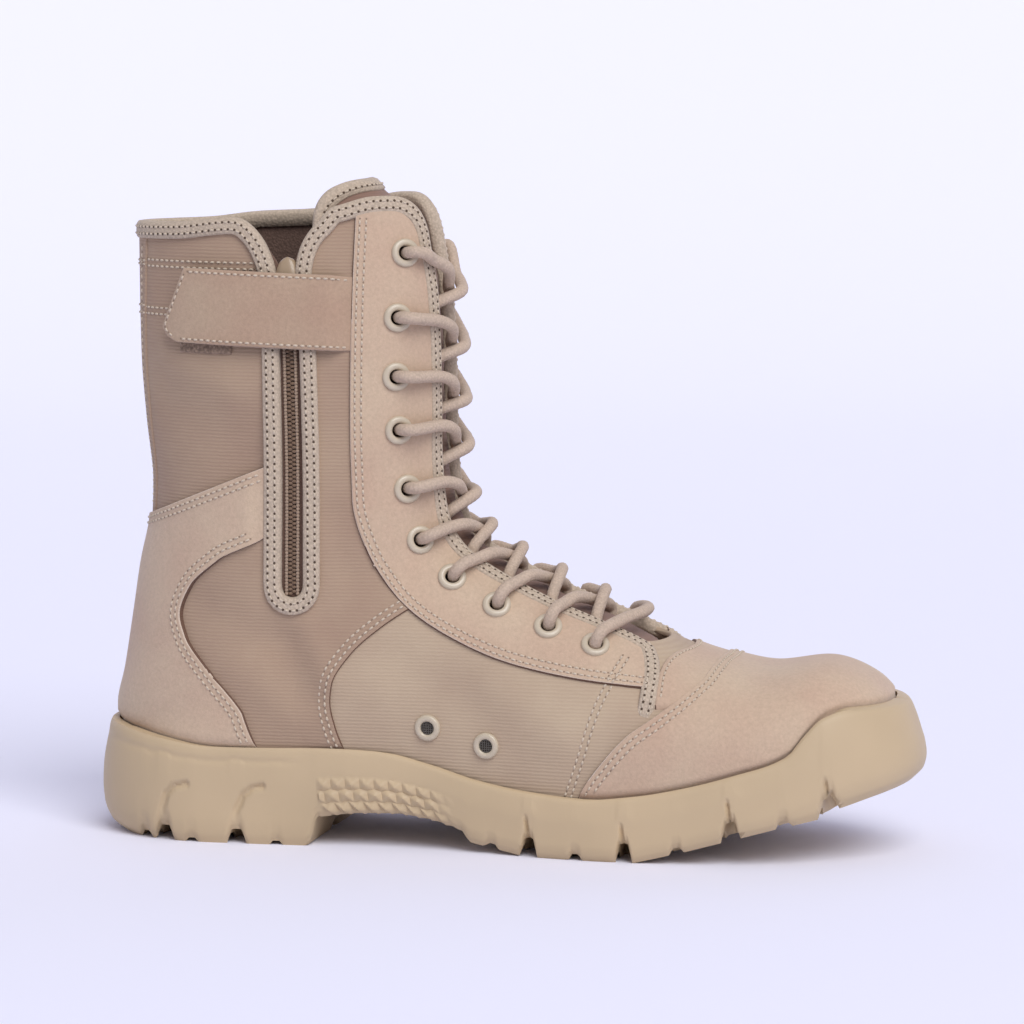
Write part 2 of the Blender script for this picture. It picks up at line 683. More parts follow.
def finish(tree, shader, colour, shade, height, strength, depth):
    """Feeds the shader a colour varied by a shade, and a relief of this depth in millimetres."""
    tone = add_node(tree, "ShaderNodeMix", {0: 1.0, 6: colour, 7: shade.outputs[0]},
                    data_type="RGBA", blend_type="MULTIPLY")
    bump = add_node(tree, "ShaderNodeBump", {
        "Height": height.outputs[0], "Strength": strength, "Distance": depth * MM,
    })
    tree.links.new(tone.outputs[2], shader.inputs["Base Color"])
    tree.links.new(bump.outputs[0], shader.inputs["Normal"])


def napped_suede(name, colour, rubbed):
    """Suede, buffed to a short nap: matt, with soft patches where the nap lies another way."""
    made, tree, shader, place = blank_material(
        name, Roughness=0.93, Sheen_Weight=0.2, Sheen_Roughness=0.6, Specular_IOR_Level=0.2
    )
    patches = add_node(tree, "ShaderNodeTexNoise", {"Vector": place, "Scale": per_mm(34.0), "Detail": 3.0})
    spread = add_node(tree, "ShaderNodeMapRange", {0: patches.outputs[0], 1: 0.27, 2: 0.73})
    nap = add_node(tree, "ShaderNodeTexNoise", {
        "Vector": place, "Scale": per_mm(1.3), "Detail": 5.0, "Roughness": 0.7,
    })
    shade = add_node(tree, "ShaderNodeMapRange", {0: nap.outputs[0], 1: 0.25, 2: 0.75, 3: 0.86, 4: 1.08})
    tone = add_node(tree, "ShaderNodeMix", {0: spread.outputs[0], 6: solid(colour), 7: solid(rubbed)},
                    data_type="RGBA")
    finish(tree, shader, tone.outputs[2], shade, nap, 0.5, 0.35)
    return made


def ribbed_canvas(name, light, deep, pitch):
    """Nylon canvas, woven with a heavy weft: level ribs broken by the warp, drawn coarse enough to show."""
    made, tree, shader, place = blank_material(
        name, Roughness=0.86, Sheen_Weight=0.12, Specular_IOR_Level=0.3
    )
    ribs = add_node(tree, "ShaderNodeTexWave", {
        "Vector": place, "Scale": bands_per_mm(pitch),
        "Distortion": 1.3, "Detail": 2.0, "Detail Scale": 1.5,
    }, bands_direction="Z")
    warp = add_node(tree, "ShaderNodeTexNoise", {"Vector": place, "Scale": per_mm(0.9), "Detail": 3.0})
    patches = add_node(tree, "ShaderNodeTexNoise", {"Vector": place, "Scale": per_mm(30.0), "Detail": 3.0})
    weave = add_node(tree, "ShaderNodeMath", {0: ribs.outputs["Fac"], 1: warp.outputs[0]},
                     operation="MULTIPLY")
    height = add_node(tree, "ShaderNodeMath", {0: weave.outputs[0], 1: ribs.outputs["Fac"]},
                      operation="ADD")
    mottle = add_node(tree, "ShaderNodeMapRange", {0: patches.outputs[0], 1: 0.3, 2: 0.7, 3: 0.22, 4: 0.54})
    valley = add_node(tree, "ShaderNodeMapRange", {0: weave.outputs[0], 1: 0.0, 2: 0.5, 3: 0.1, 4: -0.06})
    depth = add_node(tree, "ShaderNodeMath", {0: mottle.outputs[0], 1: valley.outputs[0]},
                     operation="ADD", use_clamp=True)
    tone = add_node(tree, "ShaderNodeMix", {0: depth.outputs[0], 6: solid(light), 7: solid(deep)},
                    data_type="RGBA")
    bump = add_node(tree, "ShaderNodeBump", {
        "Height": height.outputs[0], "Strength": 0.2, "Distance": 0.3 * MM,
    })
    tree.links.new(tone.outputs[2], shader.inputs["Base Color"])
    tree.links.new(bump.outputs[0], shader.inputs["Normal"])
    return made


def moulded_rubber(colours):
    """Gum rubber, moulded: satin, with a fine blasted grain and slightly uneven colour."""
    made, tree, shader, place = blank_material(
        "moulded_rubber", Roughness=0.5, IOR=1.52, Specular_IOR_Level=0.38
    )
    patches = add_node(tree, "ShaderNodeTexNoise", {"Vector": place, "Scale": per_mm(45.0), "Detail": 2.0})
    grain = add_node(tree, "ShaderNodeTexNoise", {"Vector": place, "Scale": per_mm(0.8), "Detail": 2.0})
    shade = add_node(tree, "ShaderNodeMapRange", {0: patches.outputs[0], 1: 0.3, 2: 0.7, 3: 0.93, 4: 1.04})
    gloss = add_node(tree, "ShaderNodeMapRange", {0: grain.outputs[0], 3: 0.42, 4: 0.6})
    tree.links.new(gloss.outputs[0], shader.inputs["Roughness"])
    finish(tree, shader, solid(colours.rubber), shade, grain, 0.16, 0.15)
    return made


def woven_cloth(name, colour, thread, contrast, roughness=0.85):
    """Spun, woven or cut fibre: finely uneven, and told apart by colour, thread size and gloss."""
    made, tree, shader, place = blank_material(
        name, Roughness=roughness, Sheen_Weight=0.1, Specular_IOR_Level=0.25
    )
    fibre = add_node(tree, "ShaderNodeTexNoise", {
        "Vector": place, "Scale": per_mm(thread), "Detail": 3.0, "Roughness": 0.6,
    })
    knots = add_node(tree, "ShaderNodeTexVoronoi", {"Vector": place, "Scale": per_mm(thread)})
    height = add_node(tree, "ShaderNodeMath", {0: fibre.outputs[0], 1: knots.outputs["Distance"]},
                      operation="SUBTRACT")
    shade = add_node(tree, "ShaderNodeMapRange", {
        0: height.outputs[0], 1: -0.3, 2: 0.5, 3: 1.0 - contrast, 4: 1.06,
    })
    finish(tree, shader, solid(colour), shade, height, 0.5, 0.3)
    return made


def baked_enamel(name, colour):
    """Enamel baked on brass: smooth, with a clear gloss and faint unevenness."""
    made, tree, shader, place = blank_material(name, Roughness=0.34, Coat_Weight=0.3, Coat_Roughness=0.2)
    flow = add_node(tree, "ShaderNodeTexNoise", {"Vector": place, "Scale": per_mm(2.0), "Detail": 2.0})
    shade = add_node(tree, "ShaderNodeMapRange", {0: flow.outputs[0], 3: 0.92, 4: 1.04})
    finish(tree, shader, solid(colour), shade, flow, 0.1, 0.1)
    return made


RIB_PITCH = 1.25
SUEDE_SHEET = ("suede", "suede_edge", "inked_edge")
MATERIAL_MAKERS = {
    # Suede of the overlays and, a little darker, of the strap
    "suede": lambda c: napped_suede("napped_suede", c.suede, c.suede_pink),
    "strap": lambda c: napped_suede("strap_suede", c.strap, c.strap_pink),
    # Suede's cut edge, pale and fibrous, and its inked foot, a dark line on the cloth
    "suede_edge": lambda c: woven_cloth("suede_cut_edge", linear("#D3C0AE"), 0.5, 0.15),
    "inked_edge": lambda c: woven_cloth("inked_suede_edge", linear("#6E5344"), 0.5, 0.15),
    # Canvas, paler on the vamp and dark on the tongue
    "canvas": lambda c: ribbed_canvas("ribbed_canvas", c.canvas, c.canvas_deep, RIB_PITCH),
    "vamp": lambda c: ribbed_canvas("vamp_canvas", c.vamp, c.vamp_deep, RIB_PITCH),
    "tongue": lambda c: ribbed_canvas("tongue_canvas", c.canvas_deep, c.lining, RIB_PITCH),
    "rubber": moulded_rubber,
    # Woven tape and lining, spun thread and braided cord: matt, with threads that just show
    "webbing": lambda c: woven_cloth("binding_webbing", c.webbing, 0.9, 0.22),
    "thread": lambda c: woven_cloth("sewing_thread", c.thread, 0.5, 0.12),
    "cord": lambda c: woven_cloth("braided_cord", c.cord, 0.85, 0.16),
    "lining": lambda c: woven_cloth("lining_cloth", c.lining, 0.8, 0.25),
    # Cloth in the shade of a hole, and cloth dented by the needle: dark specks between the stitches
    "needle_hole": lambda c: woven_cloth("shaded_cloth", linear("#5A493C"), 0.6, 0.3),
    "needle_mark": lambda c: woven_cloth("dented_cloth", linear("#9C8674"), 0.6, 0.3),
    # Nylon coil, drawn and slightly shiny, with the thread that sews it to its cloth
    "coil": lambda c: woven_cloth("nylon_coil", c.coil, 0.7, 0.15, 0.45),
    "coil_thread": lambda c: woven_cloth("coil_thread", linear("#A8917D"), 0.6, 0.25, 0.6),
    "zip_cloth": lambda c: woven_cloth("zip_cloth", linear("#7C6255"), 0.7, 0.25),
    # Loop pile, coarse and quite without shine
    "loop_pile": lambda c: woven_cloth("loop_pile", linear("#A38B78"), 1.1, 0.45, 0.95),
    # Enamelled metal, and the vents' woven wire, dull and grey
    "enamel": lambda c: baked_enamel("baked_enamel", c.enamel),
    "slider": lambda c: baked_enamel("slider_enamel", linear("#A08A70")),
    "screen": lambda c: woven_cloth("wire_screen", linear("#625D57"), 0.6, 0.3, 0.4),
}
MATERIALS = {}


def material(name):
    if name not in MATERIALS:
        MATERIALS[name] = MATERIAL_MAKERS[name](bpy.context.scene.boot_colours)
    return MATERIALS[name]


def grid_faces(rows, columns):
    corner = np.arange((rows - 1) * columns).reshape(rows - 1, columns)[:, :-1].ravel()
    return np.stack((corner, corner + 1, corner + columns + 1, corner + columns), axis=1)


def hoop_faces(rows, columns):
    """Faces between rings of points, each ring closed in itself."""
    corner = np.arange((rows - 1) * columns).reshape(rows - 1, columns)
    beside = np.roll(corner, -1, axis=1)
    return np.stack((corner, beside, beside + columns, corner + columns), axis=-1).reshape(-1, 4)


def circle(count):
    """Angles of evenly spread points on a circle."""
    return np.linspace(0.0, 2.0 * math.pi, count, endpoint=False)


def face_the(points, faces, normals):
    """The faces, turned so that they look the way the normals do."""
    a, b, c = (points[faces[:, k]] for k in (0, 1, 2))
    looks = np.einsum("ij,ij->i", np.cross(b - a, c - a), normals[faces[:, 0]])
    return faces[:, ::-1] if looks.sum() < 0.0 else faces


WELD_DISTANCE = 0.002


def add_piece(
    name, points, faces, materials, slot, replaced=(), face_slots=None, weld=False, closed=False
):
    """A smooth mesh in metres that rides on the boot."""
    mesh = bpy.data.meshes.new(name)
    faces = [[int(corner) for corner in face] for face in faces]
    mesh.from_pydata((points.reshape(-1, 3) * MM).tolist(), [], faces)
    for key in materials:
        mesh.materials.append(material(key))
    if face_slots is not None:
        mesh.polygons.foreach_set("material_index", np.asarray(face_slots, np.int32))
    if weld or closed:
        shape = bmesh.new()
        shape.from_mesh(mesh)
        bmesh.ops.remove_doubles(shape, verts=shape.verts, dist=WELD_DISTANCE * MM)
        bmesh.ops.dissolve_degenerate(shape, edges=shape.edges, dist=WELD_DISTANCE * MM)
        if closed:
            bmesh.ops.recalc_face_normals(shape, faces=shape.faces)
        shape.to_mesh(mesh)
        shape.free()
    mesh.shade_smooth()
    piece = bpy.data.objects.new(name, mesh)
    bpy.context.scene.collection.objects.link(piece)
    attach(piece, "root")
    if replaced:
        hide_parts(*replaced)
    return piece


def thicken(piece, thickness, lining=0):
    """Gives a sheet its thickness, inwards, with a lining that many materials further on."""
    solid_form = piece.modifiers.new("thickness", "SOLIDIFY")
    solid_form.thickness = thickness * MM
    solid_form.offset = -1.0
    solid_form.use_even_offset = False
    solid_form.use_quality_normals = True
    solid_form.material_offset = lining


EDGES = ("first_row", "last_row", "first_column", "last_column")
SIDE_EDGES = ("first_column", "last_column")
REAR_EDGES = ("last_row", *SIDE_EDGES)
CUT_EDGE = 0.55
INKED_EDGE = 0.27
FAR = 1e9

# An overlay thins out where it comes down to the sole's rim
RIM_EASE = (-0.4, 2.4)

# A line along an edge is cut into steps, and one row of the sheet tells which way is inward
LINE_STEP = 1.0
LINE_PROBE = 7


def from_edge(values, edge):
    """The grid turned so that the edge is its first row."""
    turned = values if edge.endswith("row") else np.swapaxes(values, 0, 1)
    return turned[::-1] if edge.startswith("last") else turned


def edge_distance(points, edge):
    """Distance of a grid's points from one of its edges, along the grid."""
    steps = np.linalg.norm(np.diff(from_edge(points, edge), axis=0), axis=-1)
    away = np.cumsum(np.insert(steps, 0, 0.0, axis=0), axis=0)
    away = away[::-1] if edge.startswith("last") else away
    return away if edge.endswith("row") else away.T


class Panel:
    """A sheet on the last as a grid of points, with rounded edges of its own thickness."""

    def __init__(self, points, normals):
        self.base = points
        self.normals = normals
        self.points = points

    @classmethod
    def over_both(cls, half):
        """From a function that gives a side's stations and shares, the middle line being column 0."""
        return cls.joined(*(cls.on_side(*half(side), side) for side in SIDES))

    @classmethod
    def joined(cls, medial, lateral):
        """Two sides' sheets as one, the middle line being column 0 of each."""
        points = np.concatenate((medial.points[:, :0:-1], lateral.points), axis=1)
        normals = np.concatenate((medial.normals[:, :0:-1], lateral.normals), axis=1)
        return cls(points, normals)

    @classmethod
    def on_side(cls, station, around, side):
        return cls(*LAST.seat(station, around, side))

    def raise_by(self, lift, edges=EDGES, radius=0.55, floor=-0.4):
        """Lifts the sheet off the last, turning the named edges down to the floor."""
        away = np.full(self.base.shape[:2], FAR)
        for edge in edges:
            away = np.minimum(away, edge_distance(self.base, edge))
        into = 1.0 - clamp(away / radius)
        share = np.sqrt(np.maximum(0.0, 1.0 - into ** 2))
        above = self.base[..., 2] - rim_height(self.base[..., 0])
        lift = np.asarray(lift) * eased(above, *RIM_EASE)
        height = floor + (lift - floor) * share
        self.points = self.base + height[..., None] * self.normals
        self.away = away
        return self

    def line(self, edge, inset, trim=(0.0, 0.0)):
        """Points and normals on the sheet at a distance square to one edge, trimmed at both ends."""
        rows = from_edge(self.base, edge)
        spots, outs = evenly(rows[0], from_edge(self.normals, edge)[0], LINE_STEP)
        spots = smoothed(spots, 2)
        sideways = unit(np.cross(outs, unit(np.gradient(spots, axis=0))))
        first = np.cross(from_edge(self.normals, edge)[0], np.gradient(rows[0], axis=0))
        way = np.sign(np.sum(first * (rows[LINE_PROBE] - rows[0])))
        spots, outs = self.on_sheet(spots + way * inset * sideways)
        along = travelled(spots)
        keep = (along >= trim[0]) & (along <= along[-1] - trim[1])
        return spots[keep], outs[keep]

    def on_sheet(self, spots):
        """The places moved straight onto the sheet, with the normals there."""
        base = self.base.reshape(-1, 3)
        tree = KDTree(len(base))
        for k, place in enumerate(base):
            tree.insert(place, k)
        tree.balance()
        near = np.array([tree.find(place)[1] for place in spots])
        outs = self.normals.reshape(-1, 3)[near]
        level = np.sum((self.points.reshape(-1, 3)[near] - spots) * outs, axis=1, keepdims=True)
        return spots + level * outs, outs

    def add(self, name, materials, slot, replaced=(), holes=(), hole_radius=0.0):
        """The sheet as a piece; a second material is for its cut edges, and a third for their foot."""
        points = self.points.reshape(-1, 3)
        normals = self.normals.reshape(-1, 3)
        faces = face_the(points, grid_faces(*self.points.shape[:2]), normals)
        points, faces = punched(points, faces, normals, holes, hole_radius)
        slots = None
        if len(materials) > 1:
            away = self.away.reshape(-1)[faces].mean(axis=1)
            slots = (away < CUT_EDGE).astype(int) + (away < INKED_EDGE)
        return add_piece(name, points, faces, materials, slot, replaced, face_slots=slots, weld=True)


def merged(meshes):
    """Points and faces of several meshes as one."""
    points, faces = zip(*meshes)
    starts = np.cumsum([0] + [len(spots) for spots in points[:-1]])
    return np.concatenate(points), np.concatenate([made + start for made, start in zip(faces, starts)])


def punched(points, faces, normals, holes, radius):
    """The sheet with round holes, the points inside each pushed out to its edge."""
    points = points.copy()
    inside = np.zeros(len(points), bool)
    for hole in holes:
        away = points - hole
        flat = away - np.sum(away * normals, axis=1, keepdims=True) * normals
        size = np.linalg.norm(flat, axis=1)
        near = (size < radius) & (np.linalg.norm(away, axis=1) < 3.0 * radius)
        points[near] += flat[near] * (radius / np.maximum(size[near], 0.001) - 1.0)[:, None]
        inside |= near
    return points, faces[~inside[faces].all(axis=1)]


def closing(count):
    """Shares from 0 to 1, close together at the start and at the cut edge."""
    return np.concatenate((np.linspace(0.0, 0.985, count) ** 1.3, [0.988, 0.992, 0.995, 0.998, 1.0]))


def edged(count, edge=0.012):
    """Shares from 0 to 1 with extra ones close to both ends."""
    ends = edge * np.array([0.0, 0.12, 0.3, 0.55])
    inner = np.linspace(edge, 1.0 - edge, count)
    return np.concatenate((ends, inner, 1.0 - ends[::-1]))


def resampled(spots, normals, pitch):
    """Even places on a line, with the directions ahead and up there."""
    along = travelled(spots)
    count = max(2, int(along[-1] / pitch))
    t = (np.arange(count) + 0.5) * along[-1] / count
    ahead = picked(t + 0.5, along, spots) - picked(t - 0.5, along, spots)
    return picked(t, along, spots), unit(ahead), unit(picked(t, along, normals))


def size_of(name):
    """One of the user's sizes, in millimetres."""
    return getattr(bpy.context.scene.boot_sizes, name) / MM


STITCH_RINGS = 5
STITCH_SIDES = 6
HOLE_SIDES = 6
STITCH_BLUNT = 1.15
STITCH_ARCH = 0.16
STITCH_DIVE = 0.45
STITCH_FLAT = 0.85
HOLE_LIFT = 0.06
MARK_RADIUS = 0.36
HOLE_RADIUS = 0.5


def sew(name, lines, slot, hole="needle_mark", hole_radius=MARK_RADIUS):
    """One mesh of stitches along lines of points and normals, with the needle's holes between them."""
    pitch = size_of("stitch_pitch")
    length = size_of("stitch_length")
    radius = size_of("stitch_radius")
    steps = np.linspace(-1.0, 1.0, STITCH_RINGS)
    thick = radius * np.sqrt(STITCH_BLUNT - steps ** 2)
    arch = STITCH_ARCH - STITCH_DIVE * steps ** 2
    thread_faces = hoop_faces(STITCH_RINGS, STITCH_SIDES).tolist()
    first = STITCH_RINGS * STITCH_SIDES
    pit_middle = first + HOLE_SIDES
    hole_faces = [(first + k, first + (k + 1) % HOLE_SIDES, pit_middle) for k in range(HOLE_SIDES)]
    size = pit_middle + 1
    clouds = []
    for spots, normals in lines:
        middle, ahead, up = resampled(spots, normals, pitch)
        across = np.cross(up, ahead)
        rings = []
        for step, fat, high in zip(steps, thick, arch):
            centre = middle + 0.5 * length * step * ahead + high * up
            for turn in circle(STITCH_SIDES):
                spoke = math.cos(turn) * across + STITCH_FLAT * math.sin(turn) * up
                rings.append(centre + fat * spoke)
        pit = middle + 0.5 * pitch * ahead + HOLE_LIFT * up
        for turn in circle(HOLE_SIDES):
            rings.append(pit + hole_radius * (math.cos(turn) * ahead + math.sin(turn) * across))
        rings.append(pit)
        clouds.append(np.stack(rings, axis=1))
    cloud = np.concatenate(clouds)
    count = len(cloud)
    faces = [[k * size + c for c in face] for k in range(count) for face in thread_faces + hole_faces]
    kinds = np.tile([0] * len(thread_faces) + [1] * len(hole_faces), count)
    return add_piece(name, cloud, faces, ["thread", hole], slot, face_slots=kinds)


def back_seam_rows():
    """Heights of the rows of stitches across the back."""
    return [z for height in BACK_SEAM_HEIGHTS for z in (height, height - size_of("row_gap"))]


def pairs(panel, edge, inset, trim=(0.0, 0.0)):
    """The two rows of a double seam along one edge."""
    return [panel.line(edge, inset, trim), panel.line(edge, inset + size_of("row_gap"), trim)]


def shifted(line, by):
    """The line moved sideways over the surface."""
    spots, normals = line
    ahead = unit(np.gradient(spots, axis=0))
    return spots + by * np.cross(normals, ahead), normals


def tube(path, across, up, section):
    """Points and faces of a section carried along a path; section rows are (across, up)."""
    aside, above = np.asarray(section).T[:, None, :, None]
    points = path[:, None, :] + aside * across[:, None, :] + above * up[:, None, :]
    return points.reshape(-1, 3), hoop_faces(*points.shape[:2])


# Sole's side: slits over the deep notches, hooked grooves on the heel and a soft line under its rim
NOTCH_MOUTH = 0.6
NOTCH_FLANK = 0.3
NOTCH_FADE = 3.0
SLIT_LEAN = 0.12
SLIT_SHIFT = 0.8
SLIT_HALF = 1.0
SLIT_DEPTH = 1.6
SLIT_FADE = 3.0
HOOK_EASE = (6.0, 8.0)
STUD_FADE = 14.0
TOOTH_FADE = 10.0
RIM_LINE_EASE = (-66.0, -10.0)
RIM_LINE_DEPTH = 0.4
RIM_LINE_SHARE = 0.86
RIM_LINE_WIDTH = 0.03

# Tread: chevrons that meet at the spine, and a channel that winds down the middle
CHEVRON_SLOPE = 0.45
CHEVRON_DEEP = 3.2
CHEVRON_SHALLOW = 2.0
CHEVRON_HALF = 2.2
CHEVRON_FLANK = 0.9
DEEP_NOTCH = 12.0
SPINE_HALF = 6.0
CHANNEL_HALF = 3.6
CHANNEL_PLACE = 3.2
CHANNEL_SWING = 2.2
CHANNEL_WAVE = 5.0
CHANNEL_FLANK = 1.2
CHANNEL_DEPTH = 2.6
WAIST_FROM = -62.0
WAIST_TO = -6.0
TREAD_EASE = (4.0, 3.0)


def notch_rise(x, inward):
    """How far notches lift the tread at x, a distance in from its edge."""
    rise = np.zeros(np.broadcast(x, inward).shape)
    for row in NOTCHES:
        beside = NOTCH_MOUTH * row.width - np.abs(x - row.x)
        flank = clamp(beside / (NOTCH_FLANK * row.width))
        fade = clamp((row.depth - inward) / NOTCH_FADE)
        rise = np.maximum(rise, row.height * flank * fade)
    return rise


def segment_distance(x, z, a, b):
    """Distance of places from the line between two points, seen from the side."""
    (ax, az), (bx, bz) = a, b
    dx = bx - ax
    dz = bz - az
    t = clamp(((x - ax) * dx + (z - az) * dz) / (dx ** 2 + dz ** 2))
    return np.hypot(x - ax - t * dx, z - az - t * dz)


def sole_relief(x, place, z, share):
    """How far the sole's side stands out: slits, hooked grooves, studs and the line under the rim."""
    out = np.zeros(x.shape)
    for row in NOTCHES:
        if row.slit > 0.0:
            low = bottom_height(row.x)
            lean = SLIT_LEAN * (z - low)
            across = clamp(1.0 - np.abs(place - row.x + lean - SLIT_SHIFT) / SLIT_HALF)
            fade = clamp((low + row.height + row.slit - z) / SLIT_FADE)
            out -= SLIT_DEPTH * across * fade
    for hook in HOOKS:
        near = np.full(x.shape, FAR)
        for a, b in zip(hook[:-1], hook[1:]):
            near = np.minimum(near, segment_distance(place, z, a, b))
        fade = eased(z, *HOOK_EASE)
        out -= HOOK_DEPTH * fade * smooth_step(1.0 - near / HOOK_WIDTH)
    row = share / STUD_STEP
    if row < STUD_ROWS:
        u = (x - STUD_FROM) / STUD_PITCH + 0.5 * (math.floor(row) % 2)
        peak = 1.0 - np.maximum(np.abs(2.0 * (u % 1.0) - 1.0), abs(2.0 * (row % 1.0) - 1.0))
        inside = (x > STUD_FROM) & (x < STUD_TO)
        out += np.where(inside, STUD_RISE * smooth_step((STUD_TO - x) / STUD_FADE) * peak, 0.0)
    heel = eased(place, *RIM_LINE_EASE)
    return out - RIM_LINE_DEPTH * heel * math.exp(-((share - RIM_LINE_SHARE) / RIM_LINE_WIDTH) ** 2)


def tread_rise(x, y, centre, half):
    """Depth of the tread's grooves: a chevron from each notch, and a channel down the middle."""
    inward = half - np.abs(y - centre)
    rise = notch_rise(x, inward)
    spread = np.abs(y - centre)
    for row in NOTCHES:
        bent = row.x - CHEVRON_SLOPE * np.maximum(0.0, sole_half(row.x) - spread)
        deep = CHEVRON_DEEP if row.slit > 0.0 or row.depth > DEEP_NOTCH else CHEVRON_SHALLOW
        groove = clamp((CHEVRON_HALF - np.abs(x - bent)) / CHEVRON_FLANK)
        rise = np.maximum(rise, deep * groove * (spread > SPINE_HALF))
    aside = np.abs(spread - CHANNEL_PLACE - CHANNEL_SWING * np.sin(x / CHANNEL_WAVE))
    channel = clamp((CHANNEL_HALF - aside) / CHANNEL_FLANK)
    waist = (x > WAIST_FROM) & (x < WAIST_TO)
    flat = eased(inward, *TREAD_EASE)
    return np.maximum(rise, np.where(waist, 0.0, CHANNEL_DEPTH * channel * flat))


def sole_stations():
    """Places along the sole, close together where its side has fine relief."""
    ease = 1.0 - np.cos(np.linspace(0.0, 0.5 * math.pi, 44))
    parts = [
        HEEL_END + HEEL_ROUND * ease,
        np.linspace(HEEL_END + HEEL_ROUND, TOE_END - TOE_ROUND, 120),
        TOE_END - TOE_ROUND * ease,
        np.arange(-120.0, -76.0, 0.5),
        np.arange(STUD_FROM, STUD_TO + 0.1, STUD_PITCH / 6.0),
    ]
    for row in NOTCHES:
        parts.append(row.x + row.width * np.array([-0.62, -0.6, -0.45, -0.3, 0.0, 0.3, 0.45, 0.6, 0.62]))
        if row.slit > 0.0:
            parts.append(row.x + np.arange(-2.4, 2.5, 0.4))
    stations = np.unique(np.round(np.concatenate(parts), 2))
    inner = stations[(stations > HEEL_END + 0.01) & (stations < TOE_END - 0.01)]
    return np.concatenate(([HEEL_END], inner, [TOE_END]))


SOLE_LEVELS = np.concatenate((
    STUD_STEP * np.arange(8 * STUD_ROWS + 1) / 8.0, np.linspace(0.6, 1.0, 21),
))
TREAD_COLUMNS = 45
SHARP_ANGLE = math.radians(38.0)


def sole_side(x, share, side):
    """Points of the sole's outside at stations x and one share of its height."""
    heel, toe, inset = (column(LEVELS, "share", name)(share) for name in ("heel", "toe", "side"))
    place = HEEL_END + heel + (SOLE_LENGTH - heel - toe) * (x - HEEL_END) / SOLE_LENGTH
    half = sole_half(x) * (1.0 - inset / WIDEST_HALF)
    rim = rim_height(place)
    bare = bottom_height(place)
    tooth = np.abs(2.0 * ((x - STUD_FROM) / STUD_PITCH % 1.0) - 1.0) * (x > STUD_FROM) * (x < STUD_TO)
    low = bare + notch_rise(place, 0.0) + STUD_TOOTH * tooth * smooth_step((STUD_TO - x) / TOOTH_FADE)
    z = low + share * (rim - low)
    ends = toe_rounding(x) * heel_rounding(x, HEEL_POWER)
    half = half + sole_relief(x, place, z, share) * clamp(2.0 * ends) * (share < 0.995)
    return np.stack((place, outline_centre(x) + side * np.maximum(half, 0.0), z), axis=1)


def toe_reach(z):
    stations = np.linspace(0.0, 2.0, 41)
    heights = np.concatenate(([SECTIONS[0].back_z], section_column["front_z"](stations)))
    places = np.concatenate(([SECTIONS[0].back_x], section_column["front_x"](stations)))
    return np.interp(z, heights, places)


def heel_reach(z):
    return section_column["back_x"](LAST.seam_station(z))


def cup_side(x, share, side):
    """Points on the cup's wall beside the foot: share 0 at the floor and 1 at the rim."""
    t = (x - HEEL_END) / SOLE_LENGTH
    low_x = FOOT_END * (2.0 * t - 1.0)
    top_x = heel_reach(rim_height(HEEL_END)) * (1.0 - t) + toe_reach(rim_height(TOE_END)) * t
    z = floor_height(low_x) + share * (rim_height(top_x) - floor_height(low_x))
    if share == 0.0:
        y = outline_centre(x) + side * foot_half(x)
        return np.stack((low_x, y, z - CUP_FLOOR), axis=1)
    place = heel_reach(z) * (1.0 - t) + toe_reach(z) * t
    points, normals = LAST.seen(place, z, side)
    points = points + CUP_GAP * normals
    for end, way in ((0, -1.0), (-1, 1.0)):
        points[end] = (place[end] + way * CUP_GAP, outline_centre(x[end]), z[end])
    return points


def build_sole():
    """The sole as rings from the cup's floor over one rim, under the tread and over the other rim."""
    x = sole_stations()
    low_ring = {side: sole_side(x, 0.0, side) for side in SIDES}
    rings = [cup_side(x, share, MEDIAL) for share in CUP_SHARES]
    rings += [sole_side(x, share, MEDIAL) for share in SOLE_LEVELS[::-1]]
    centre = 0.5 * (low_ring[MEDIAL][:, 1] + low_ring[LATERAL][:, 1])
    half = 0.5 * (low_ring[LATERAL][:, 1] - low_ring[MEDIAL][:, 1])
    place = low_ring[MEDIAL][:, 0]
    for u in np.linspace(-1.0, 1.0, TREAD_COLUMNS)[1:-1]:
        y = centre + u * half
        z = bottom_height(place) + tread_rise(place, y, centre, half)
        rings.append(np.stack((place, y, z), axis=1))
    rings += [sole_side(x, share, LATERAL) for share in SOLE_LEVELS]
    rings += [cup_side(x, share, LATERAL) for share in CUP_SHARES[::-1]]
    points = np.stack(rings, axis=1)
    faces = hoop_faces(*points.shape[:2])
    piece = add_piece("sole_moulding", points, faces, ["rubber"], "sole_rubber", ["sole"], closed=True)
    piece.data.set_sharp_from_angle(angle=SHARP_ANGLE)


INSOLE_MARGIN = 0.5
INSOLE_SHORTER = 4.4
INSOLE_NARROWING = 0.89
INSOLE_TOP = 2.8
INSOLE_DISH = 0.9
INSOLE_DIP = 0.5
INSOLE_THICKNESS = 3.6


